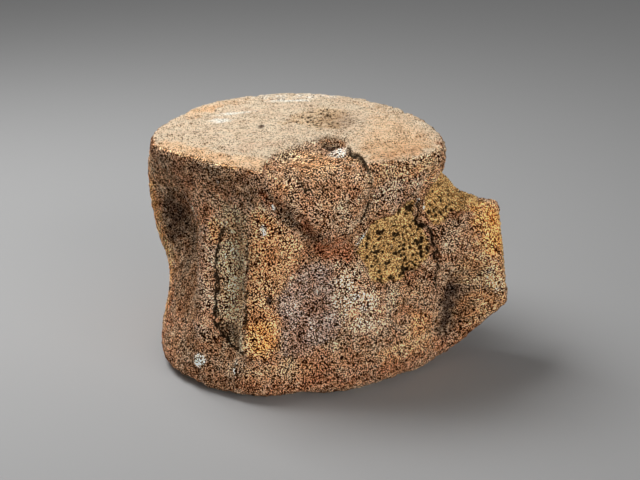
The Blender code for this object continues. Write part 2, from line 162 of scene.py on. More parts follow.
def depth_inside(across: Array, up: Array, outline: Path) -> Array:
    """Distance of points of a plane to a closed outline.

    Args:
        across: First coordinate of each point.
        up: Second coordinate of each point.
        outline: The outline's corners in the same plane, the first given once.

    Returns:
        The distance, positive inside the outline.
    """
    held = np.zeros(across.shape, bool)
    for (x0, y0), (x1, y1) in zip(outline, outline[1:] + outline[:1]):
        if y0 == y1:
            continue
        crosses = (up >= min(y0, y1)) & (up < max(y0, y1))
        held ^= crosses & (across < x0 + (up - y0) * (x1 - x0) / (y1 - y0))
    signed, _ = signed_distance(across, up, outline + outline[:1])
    return np.where(held, np.abs(signed), -np.abs(signed))


class Places:
    """Where the points of a mesh are, as arrays, and slow noise that roughens every edge drawn."""

    def __init__(self, mesh: bpy.types.Mesh) -> None:
        """Reads the points.

        Args:
            mesh: The mesh, with its place in its points.
        """
        self.points = self.read(mesh, "co")
        self.normals = self.read(mesh, "normal")
        self.x, self.y, self.z = self.points.T
        self.azimuth = np.degrees(np.arctan2(self.x, -self.y))
        self.radius = np.hypot(self.x, self.y)
        self.round = np.radians(self.azimuth) * WALL_RADIUS
        self.wobble = 0.6 * self.noise(75.0, 2) + 0.5 * self.noise(230.0, 2)
        self.on_wall = self.radius > WALL_CORE
        self.on_top = self.z > PLATE_ZONE
        self.facing_up = smooth_step((self.normals[:, 2] - 0.45) / 0.25) * (self.z > 0.15)
        self.below_rim = smooth_step((BONE_HEIGHT - 0.0020 - self.z) / 0.0030)
        self.below_rim *= smooth_step(self.z / 0.003)

    @staticmethod
    def read(mesh: bpy.types.Mesh, name: str) -> Array:
        """Reads one vector for each point of a mesh.

        Args:
            mesh: The mesh.
            name: The vector, such as the place or the normal.

        Returns:
            One row for each point.
        """
        flat = np.empty(len(mesh.vertices) * 3, np.float32)
        mesh.vertices.foreach_get(name, flat)
        return flat.astype(float).reshape(-1, 3)

    def noise(self, scale: float, octaves: int = 1, stretch: float = 1.0) -> Array:
        """Smooth noise at the points, about from -1 to 1.

        Args:
            scale: Waves for each metre.
            octaves: How many finer layers it has.
            stretch: How many times longer than wide its patches are along the upright axis.

        Returns:
            One number for each point.
        """
        scaled = self.points * np.array((scale, scale, scale / stretch))
        if octaves == 1:
            return np.array([noise.noise(point) for point in scaled])
        return np.array([noise.fractal(point, 0.9, 2.0, octaves) for point in scaled])

    def oval(self, across: Array, up: Array) -> Array:
        """Soft, frayed oval, from places given in its half sizes: 1 in its middle, 0 outside."""
        reach = np.hypot(across, up) + 0.5 * self.wobble
        return smooth_step((1.5 - reach) / 1.1)


@dataclass(frozen=True)
class Stain:
    """An oval of one zone on the side wall, placed by azimuth and height.

    Its lean is how many degrees it shifts for each metre of height.
    """

    zone: Zone
    azimuth: float
    height: float
    half_width: float
    half_height: float
    strength: float = 1.0
    lean: float = 0.0

    def mask(self, at: Places) -> Array:
        """How much of the stain each point takes.

        Args:
            at: The mesh's points.

        Returns:
            One share for each point.
        """
        rise = at.z - self.height
        turn = turn_between(at.azimuth, self.azimuth + self.lean * rise) / self.half_width
        return self.strength * at.oval(turn, rise / self.half_height) * at.below_rim


@dataclass(frozen=True)
class PlateStain:
    """An oval of one zone on the upper end plate or its broken bed, placed by x and y."""

    zone: Zone
    x: float
    y: float
    half_x: float
    half_y: float
    strength: float = 1.0
    turn: float = 0.0

    def mask(self, at: Places) -> Array:
        """How much of the stain each point takes.

        Args:
            at: The mesh's points.

        Returns:
            One share for each point.
        """
        turn = math.radians(self.turn)
        across, up = at.x - self.x, at.y - self.y
        long = (across * math.cos(turn) + up * math.sin(turn)) / self.half_x
        wide = (up * math.cos(turn) - across * math.sin(turn)) / self.half_y
        return self.strength * at.oval(long, wide) * at.facing_up


@dataclass(frozen=True)
class Field:
    """A larger field of one zone, given by its outline as azimuths and heights, or as x and y."""

    zone: Zone
    outline: Path
    soft: float
    strength: float = 1.0
    on_plate: bool = False

    def mask(self, at: Places) -> Array:
        """How much of the field each point takes.

        Args:
            at: The mesh's points.

        Returns:
            One share for each point.
        """
        if self.on_plate:
            inner, held = depth_inside(at.x, at.y, self.outline), at.facing_up
        else:
            inner = depth_inside(at.round, at.z, unrolled(self.outline))
            held = at.below_rim * at.on_wall
        inner = (inner + 0.005 * at.wobble) / self.soft
        return self.strength * smooth_step(inner / 1.8 + 0.5) * held


@dataclass(frozen=True)
class Crack:
    """A crack along a path of azimuths and heights, or of x and y on the end plate."""

    path: Path
    width: float
    depth: float
    on_plate: bool = False

    def distance(self, at: Places, bend: Array) -> tuple[Array, Array]:
        """Distance of each point to the crack.

        Args:
            at: The mesh's points.
            bend: How far the crack strays from its path near each point.

        Returns:
            The signed distance, and how much each point is beside the crack, from 0 to 1.
        """
        if self.on_plate:
            signed, share = signed_distance(at.x + bend, at.y - bend, self.path)
            held = at.on_top
        else:
            signed, share = signed_distance(at.round + bend, at.z + bend, unrolled(self.path))
            held = at.on_wall & (at.below_rim > 0.5)
        ends = np.clip(10.0 * np.minimum(share, 1.0 - share), 0.0, 1.0)
        near = smooth_step(1.0 - (np.abs(signed) - 0.003) / 0.002) * held * ends
        return signed, near

    def hold(self, signed: Array, near: Array) -> Array:
        """How deep in the crack each point is, from 0 to 1."""
        return smooth_step(1.0 - np.abs(signed) / self.width) * near


@dataclass(frozen=True)
class Ledge:
    """A broken step along a path: the surface stands proud on its left and sunk on its right."""

    path: Path
    proud: float
    sunk: float
    reach: float

    def lift(self, across: Array, up: Array, at: Places) -> Array:
        """How far each point moves outward.

        Args:
            across: First coordinate of each point, in the plane of the path.
            up: Second coordinate of each point.
            at: The mesh's points.

        Returns:
            One length for each point.
        """
        signed, share = signed_distance(across, up, self.path)
        far = signed + 0.0013 * at.wobble
        ends = np.clip(6.0 * np.minimum(share, 1.0 - share), 0.0, 1.0)
        fall = np.exp(-((far / self.reach) ** 2)) * ends
        blend = smooth_step(far / 0.0012 + 0.5)
        return (blend * self.proud - (1.0 - blend) * self.sunk) * fall


@dataclass(frozen=True)
class Dent:
    """An oval hollow of the wall, or a knob if its depth is negative.

    Its lean is how many degrees it shifts for each metre of height.
    """

    azimuth: float
    height: float
    half_width: float
    half_height: float
    depth: float
    lean: float = 0.0

    def sink(self, at: Places) -> Array:
        """How far each point moves inward.

        Args:
            at: The mesh's points.

        Returns:
            One length for each point.
        """
        rise = at.z - self.height
        turn = turn_between(at.azimuth, self.azimuth + self.lean * rise) / self.half_width
        reach = np.hypot(turn, rise / self.half_height) + 0.25 * at.wobble
        return self.depth * smooth_step(1.25 - reach) * at.on_wall * at.below_rim


@dataclass(frozen=True)
class Pocket:
    """A sharp-edged hollow of the upper end plate, given by its outline."""

    outline: Path
    depth: float
    ease: float

    def sink(self, at: Places) -> Array:
        """How far each point drops."""
        inner = depth_inside(at.x, at.y, self.outline) + 0.0008 * at.wobble
        return self.depth * smooth_step(inner / self.ease + 0.3) * at.on_top


@dataclass(frozen=True)
class Sponge:
    """A patch where the cortex is gone and the spongy bone shows, with its pores."""

    outline: Path
    recess: float
    pore_radius: float
    pore_spacing: float
    pore_depth: float
    seed: int
    on_plate: bool = False
    ragged: float = 0.0026
    share: float = 1.0

    def inner(self, at: Places) -> Array:
        """How far inside the patch each point is.

        Args:
            at: The mesh's points.

        Returns:
            The distance to the patch's ragged outline, negative outside it.
        """
        if self.on_plate:
            inner = depth_inside(at.x, at.y, self.outline)
            inner = np.where(at.z > BONE_HEIGHT - PLATE_SKIN, inner, -FAR_AWAY)
        else:
            inner = depth_inside(at.round, at.z, unrolled(self.outline))
            inner = np.where(at.on_wall, inner, -FAR_AWAY)
        return inner + self.ragged * at.wobble

    def mask(self, at: Places) -> Array:
        """How much each point belongs to the patch."""
        return smooth_step(self.inner(at) / (1.2 * self.ragged)) * self.share

    def pores(self, at: Places) -> list[tuple[Vector, float]]:
        """Middles and radii of the patch's pores, kept apart and scattered by a fixed seed.

        Args:
            at: The mesh's points.

        Returns:
            The middle and the radius of each pore.
        """
        chance = random.Random(self.seed)
        allowed = np.flatnonzero(self.inner(at) > 0.4 * self.pore_radius).tolist()
        chance.shuffle(allowed)
        cells: dict[tuple[int, ...], list[Vector]] = {}
        kept = []
        for index in allowed:
            middle = Vector(at.points[index])
            gap = self.pore_spacing * chance.uniform(0.6, 1.7)
            cell = tuple(int(value // self.pore_spacing) for value in middle)
            if all((middle - other).length > gap for other in self.around(cells, cell)):
                cells.setdefault(cell, []).append(middle)
                kept.append((middle, self.pore_radius * chance.uniform(0.35, 1.35)))
        return kept

    @staticmethod
    def around(cells: dict[tuple[int, ...], list[Vector]], cell: tuple[int, ...]) -> list[Vector]:
        """Pores already placed in a cell of space or next to it.

        Args:
            cells: Middles of the pores placed so far, by the cell that each is in.
            cell: The cell.

        Returns:
            The middles of the pores.
        """
        steps = [(i, j, k) for i in (-1, 0, 1) for j in (-1, 0, 1) for k in (-1, 0, 1)]
        spots = [tuple(c + s for c, s in zip(cell, step)) for step in steps]
        return [middle for spot in spots for middle in cells.get(spot, ())]

    def nearness(self, at: Places, mask: Array) -> Array:
        """Distance of each point to the nearest pore's middle, in that pore's radii.

        Args:
            at: The mesh's points.
            mask: How much each point belongs to the patch.

        Returns:
            One number for each point, at most 2.
        """
        pores = self.pores(at)
        tree = kdtree.KDTree(len(pores))
        for index, (middle, _) in enumerate(pores):
            tree.insert(middle, index)
        tree.balance()
        uneven = at.noise(330.0, 2)
        near = np.full(len(at.points), 2.0)
        for index in np.flatnonzero(mask > 0.05):
            _, which, far = tree.find(at.points[index])
            if which is not None:
                near[index] = far / pores[which][1] * (1.0 + 0.6 * uneven[index])
        return np.minimum(near, 2.0)


# Edge of the upper end plate round the piece that broke out: its gentle left side, the notch at the
# top and the sharp right side
BITE_LEFT: Path = (
    (-0.025, -0.126), (-0.0235, -0.1172), (-0.0232, -0.096), (-0.0195, -0.083),
    (-0.0114, -0.0707), (-0.0008, -0.0599), (0.0069, -0.048), (0.0175, -0.0431),
)
BITE_RIGHT: Path = (
    (0.03, -0.033), (0.0368, -0.044), (0.0392, -0.064), (0.043, -0.074),
    (0.0486, -0.086), (0.0518, -0.1047), (0.056, -0.12),
)
# The bed's front edge, beyond the rim
BED_FRONT: Path = ((0.058, -0.15), (-0.027, -0.15))
NOTCH = Pocket(
    ((0.0165, -0.04), (0.0215, -0.033), (0.0268, -0.0285), (0.033, -0.034), (0.04, -0.045),
     (0.0345, -0.0462), (0.03, -0.051), (0.0262, -0.0545), (0.0215, -0.048)),
    0.0016, 0.0014,
)

# Borders of the wedge under the upper rim, as azimuth and height
WEDGE_LEFT: Path = (
    (13.5, 0.127), (11, 0.13), (8.5, 0.134), (4.2, 0.139), (1.1, 0.15), (-1.8, 0.158),
    (-4.7, 0.168), (-6.2, 0.176), (-11, 0.186),
)
WEDGE_RIGHT: Path = (
    (27, 0.187), (28.5, 0.174), (28.7, 0.166), (29, 0.154), (27.8, 0.146), (24, 0.136),
    (19.5, 0.128),
)

WALL_LEDGES = (
    Ledge(unrolled(WEDGE_LEFT), 0.0012, 0.0012, 0.0034),
    Ledge(unrolled(WEDGE_RIGHT), 0.0008, 0.0002, 0.003),
)
PLATE_LEDGE = Ledge(BITE_RIGHT, 0.0009, 0.0016, 0.0034)

SPONGES: tuple[Sponge, ...] = (
    # Right of the wedge, on the root of the broken process
    Sponge(
        ((25.5, 0.114), (28.9, 0.127), (32.8, 0.14), (36.5, 0.142), (41.6, 0.143), (45.5, 0.149),
         (50.4, 0.153), (54, 0.138), (57.2, 0.125), (58.8, 0.114), (60, 0.097), (56.9, 0.088),
         (49.2, 0.081), (38.8, 0.083), (33.2, 0.088), (30.8, 0.095), (29.3, 0.105)),
        0.0004, 0.0018, 0.0044, 0.003, 11,
    ),
    # Top of the stump and the break above its front
    Sponge(
        ((56, 0.15), (58, 0.158), (65, 0.168), (80, 0.166), (98, 0.158), (102, 0.14),
         (90, 0.133), (76, 0.134), (72.2, 0.134), (68.7, 0.133), (65.1, 0.13), (61.9, 0.126),
         (59, 0.124), (57.5, 0.132)),
        0.0004, 0.00175, 0.0048, 0.003, 12,
    ),
    # Broken end of the stump
    Sponge(
        ((79, 0.124), (84, 0.136), (93, 0.132), (96, 0.09), (93, 0.056), (84, 0.05),
         (80, 0.06), (78.5, 0.09)),
        0.0003, 0.00155, 0.0044, 0.0024, 13,
    ),
    # Worn end of the other process
    Sponge(
        ((-131, 0.07), (-131, 0.108), (-136, 0.128), (-146, 0.126), (-151, 0.098),
         (-150, 0.064), (-143, 0.046), (-134, 0.05)),
        0.0004, 0.00165, 0.0046, 0.0028, 14,
    ),
    # Broken pedicles
    Sponge(
        ((117, 0.076), (117, 0.146), (123.5, 0.156), (130, 0.146), (130, 0.078), (124, 0.066)),
        0.0004, 0.00155, 0.0046, 0.0026, 15,
    ),
    Sponge(
        ((169, 0.078), (169, 0.146), (174, 0.156), (179.5, 0.146), (179.5, 0.076), (174, 0.066)),
        0.0004, 0.00155, 0.0046, 0.0026, 16,
    ),
    # Pitted middle of the upper end plate
    Sponge(
        ((-0.024, 0), (-0.012, 0.026), (0, 0.048), (0.016, 0.062), (0.034, 0.062),
         (0.048, 0.044), (0.048, 0.01), (0.04, -0.022), (0.026, -0.028), (0.01, -0.018),
         (-0.004, -0.012)),
        0.0003, 0.0017, 0.0052, 0.0024, 21, on_plate=True, ragged=0.013, share=0.66,
    ),
)

CRACKS: tuple[Crack, ...] = (
    # Both edges of the groove between the ridges
    Crack(((-30.5, 0.146), (-33.3, 0.128), (-34.3, 0.117), (-35.2, 0.103), (-34.2, 0.091),
        (-34.3, 0.075), (-33.5, 0.054), (-31, 0.045), (-27, 0.039), (-19.5, 0.04), (-15.5, 0.037)),
        0.0016, 0.0018),
    Crack(((-20.6, 0.143), (-18.7, 0.13), (-18.6, 0.122), (-19.4, 0.108), (-20, 0.094),
        (-19, 0.088), (-19.5, 0.08), (-19, 0.07), (-19.2, 0.052)), 0.0017, 0.0024),
    # From the upper rim down between the spongy patches and along the root of the stump
    Crack(((49.5, 0.16), (54.7, 0.137), (57.2, 0.125), (58.8, 0.1218), (59, 0.1145), (60.7, 0.096),
        (61.8, 0.084), (62.7, 0.071), (63.4, 0.056)), 0.0015, 0.003),
    # Right border of the wedge and the small crack in it
    Crack(((27.8, 0.182), (28.6, 0.166), (29, 0.154), (27.8, 0.146), (25, 0.138)), 0.0012, 0.0018),
    Crack(((0.2, 0.1755), (1.8, 0.1737), (4.3, 0.1706), (6.1, 0.1685), (7.4, 0.1672)),
        0.0011, 0.0014),
    # Under the plate's edge, right of the notch, drawn black as the painted shadow of the edge
    Crack(((0.039, -0.056), (0.0407, -0.0724), (0.0473, -0.0807), (0.0517, -0.0965),
        (0.0551, -0.1062)), 0.0021, 0.003, on_plate=True),
    # Short cracks of the left flank and above the base
    Crack(((-66, 0.154), (-63, 0.134), (-64.5, 0.118)), 0.0011, 0.0014),
    Crack(((-5, 0.02), (-1.5, 0.034), (-2, 0.045)), 0.0009, 0.001),
    Crack(((38, 0.03), (44, 0.04), (47, 0.052)), 0.0009, 0.001),
    # Far side
    Crack(((152, 0.176), (149.5, 0.15), (151, 0.12), (148, 0.096)), 0.0013, 0.0018),
    Crack(((-118, 0.02), (-114, 0.048), (-116, 0.074)), 0.0011, 0.0014),
    Crack(((100, 0.024), (104, 0.05), (101, 0.074)), 0.0011, 0.0014),
)

DENTS: tuple[Dent, ...] = (
    Dent(-10.4, 0.0825, 1.2, 0.0034, 0.0016),
    Dent(-5.5, 0.17, 3, 0.01, 0.0022, -520),
    Dent(5, 0.132, 6, 0.006, 0.0016, -560),
    Dent(20, 0.1, 6, 0.01, 0.0014),
    Dent(48, 0.17, 4, 0.01, -0.0014),
    Dent(-39, 0.025, 3, 0.008, -0.0016),
    Dent(-22, 0.027, 1.6, 0.008, -0.0012),
    Dent(27.5, 0.127, 1.3, 0.006, -0.0014, 300),
)

STAINS: tuple[Stain, ...] = (
    # Painted shade under the left rim and in the hollows below it, over their own dark stain,
    # and painted shade at the foot of the groove
    Stain(Zone.SHADE_AND_STAIN, -48, 0.178, 36, 0.01, 0.42),
    Stain(Zone.SHADE_AND_STAIN, -20, 0.17, 9, 0.016, 0.4),
    Stain(Zone.SHADE_AND_STAIN, -78, 0.118, 6.5, 0.03, 0.72, 60),
    Stain(Zone.SHADE_AND_STAIN, -66, 0.096, 7, 0.026, 0.4),
    Stain(Zone.MAUVE, -58, 0.14, 8, 0.02, 0.6),
    Stain(Zone.ASH, -53, 0.143, 1.6, 0.007, 0.6),
    Stain(Zone.OLIVE, -27, 0.1, 5, 0.046, 0.55),
    Stain(Zone.SHADE_AND_STAIN, -28, 0.044, 4, 0.006, 0.4, -380),
    # Ridges beside the groove
    Stain(Zone.ASH, -37.5, 0.088, 3, 0.046, 0.6),
    Stain(Zone.MAUVE, -39, 0.09, 5, 0.05, 0.7),
    Stain(Zone.OCHRE, -35, 0.131, 1.6, 0.01, 0.8),
    Stain(Zone.TAN, -13, 0.138, 4, 0.018, 0.8),
    Stain(Zone.CHALK, -11.8, 0.142, 1.2, 0.006, 0.55),
    Stain(Zone.OCHRE, -12.5, 0.1, 5, 0.034, 0.55),
    Stain(Zone.OCHRE, -11, 0.058, 4.6, 0.018, 1),
    # Front, under the wedge, with painted shadow along the wedge's left border and in a small pit
    Stain(Zone.RUST, -1, 0.132, 10, 0.024, 0.7),
    Stain(Zone.RUST, 16, 0.12, 8, 0.012, 0.85),
    Stain(Zone.SHADE_AND_STAIN, -1, 0.157, 2.6, 0.01, 0.5, -460),
    Stain(Zone.SHADE_AND_STAIN, 6, 0.136, 5, 0.004, 0.45, -900),
    Stain(Zone.CHALK, 27, 0.076, 4, 0.012, 0.35),
    Stain(Zone.ASH, 36, 0.066, 9, 0.012, 0.5),
    Stain(Zone.SHADE_AND_STAIN, -10.4, 0.0825, 1.1, 0.0035, 0.9),
    # Right side, stump and its hollow
    Stain(Zone.TAN, 40, 0.178, 18, 0.01, 0.45),
    Stain(Zone.ASH, 36, 0.162, 6, 0.014, 0.45),
    Stain(Zone.TAN, 70, 0.09, 4, 0.024, 0.6),
    Stain(Zone.OCHRE, 75, 0.118, 6, 0.028, 1),
    Stain(Zone.OCHRE, 71, 0.046, 2.6, 0.018, 0.8, 55),
    Stain(Zone.OCHRE, 57, 0.038, 6, 0.012, 0.8),
    Stain(Zone.OLIVE, 50, 0.07, 10, 0.014, 0.5),
    Stain(Zone.TAN, 44, 0.024, 14, 0.01, 0.6),
    # Far left edge: its ochre brightened as a painted rim light, with tan and rust
    Stain(Zone.OCHRE, -92, 0.13, 9, 0.036, 0.6),
    Stain(Zone.TAN, -84, 0.06, 8, 0.04, 0.5),
    Stain(Zone.RUST, -70, 0.04, 14, 0.03, 0.5),
    # Base flange
    Stain(Zone.RUST, 2, 0.016, 30, 0.012, 0.35),
    Stain(Zone.TAN, -6, 0.024, 16, 0.012, 0.45),
    # Small white marks
    Stain(Zone.CHALK, -37.6, 0.026, 2, 0.005, 0.95),
    Stain(Zone.CHALK, -22, 0.0275, 0.8, 0.007, 0.8),
    Stain(Zone.CHALK, 27.4, 0.126, 1, 0.0055, 0.95, 300),
    Stain(Zone.CHALK, -8.4, 0.16, 0.7, 0.003, 0.8),
    Stain(Zone.CHALK, -53, 0.144, 0.5, 0.002, 0.8),
    Stain(Zone.CHALK, -44, 0.141, 0.6, 0.002, 0.7),
    Stain(Zone.CHALK, 52, 0.15, 0.9, 0.003, 0.8),
    Stain(Zone.CHALK, 56.8, 0.143, 0.9, 0.0035, 0.95),
    # Far side
    Stain(Zone.SHADE_AND_STAIN, 150, 0.11, 11, 0.05, 0.5),
    Stain(Zone.SHADE_AND_STAIN, 105, 0.09, 9, 0.04, 0.5),
    Stain(Zone.ASH, 150, 0.06, 10, 0.02, 0.6),
    Stain(Zone.RUST, -170, 0.09, 12, 0.04, 0.7),
    Stain(Zone.OCHRE, -120, 0.07, 10, 0.03, 0.6),
    Stain(Zone.MAUVE, -158, 0.06, 9, 0.03, 0.7),
    Stain(Zone.TAN, 135, 0.17, 40, 0.012, 0.6),
    Stain(Zone.TAN, -140, 0.17, 40, 0.012, 0.5),
    Stain(Zone.OCHRE, 112, 0.04, 14, 0.018, 0.6),
    Stain(Zone.ASH, -105, 0.15, 9, 0.02, 0.5),
    Stain(Zone.CHALK, 128, 0.06, 1.6, 0.006, 0.8),
    Stain(Zone.CHALK, -170, 0.03, 1.8, 0.005, 0.8),
)

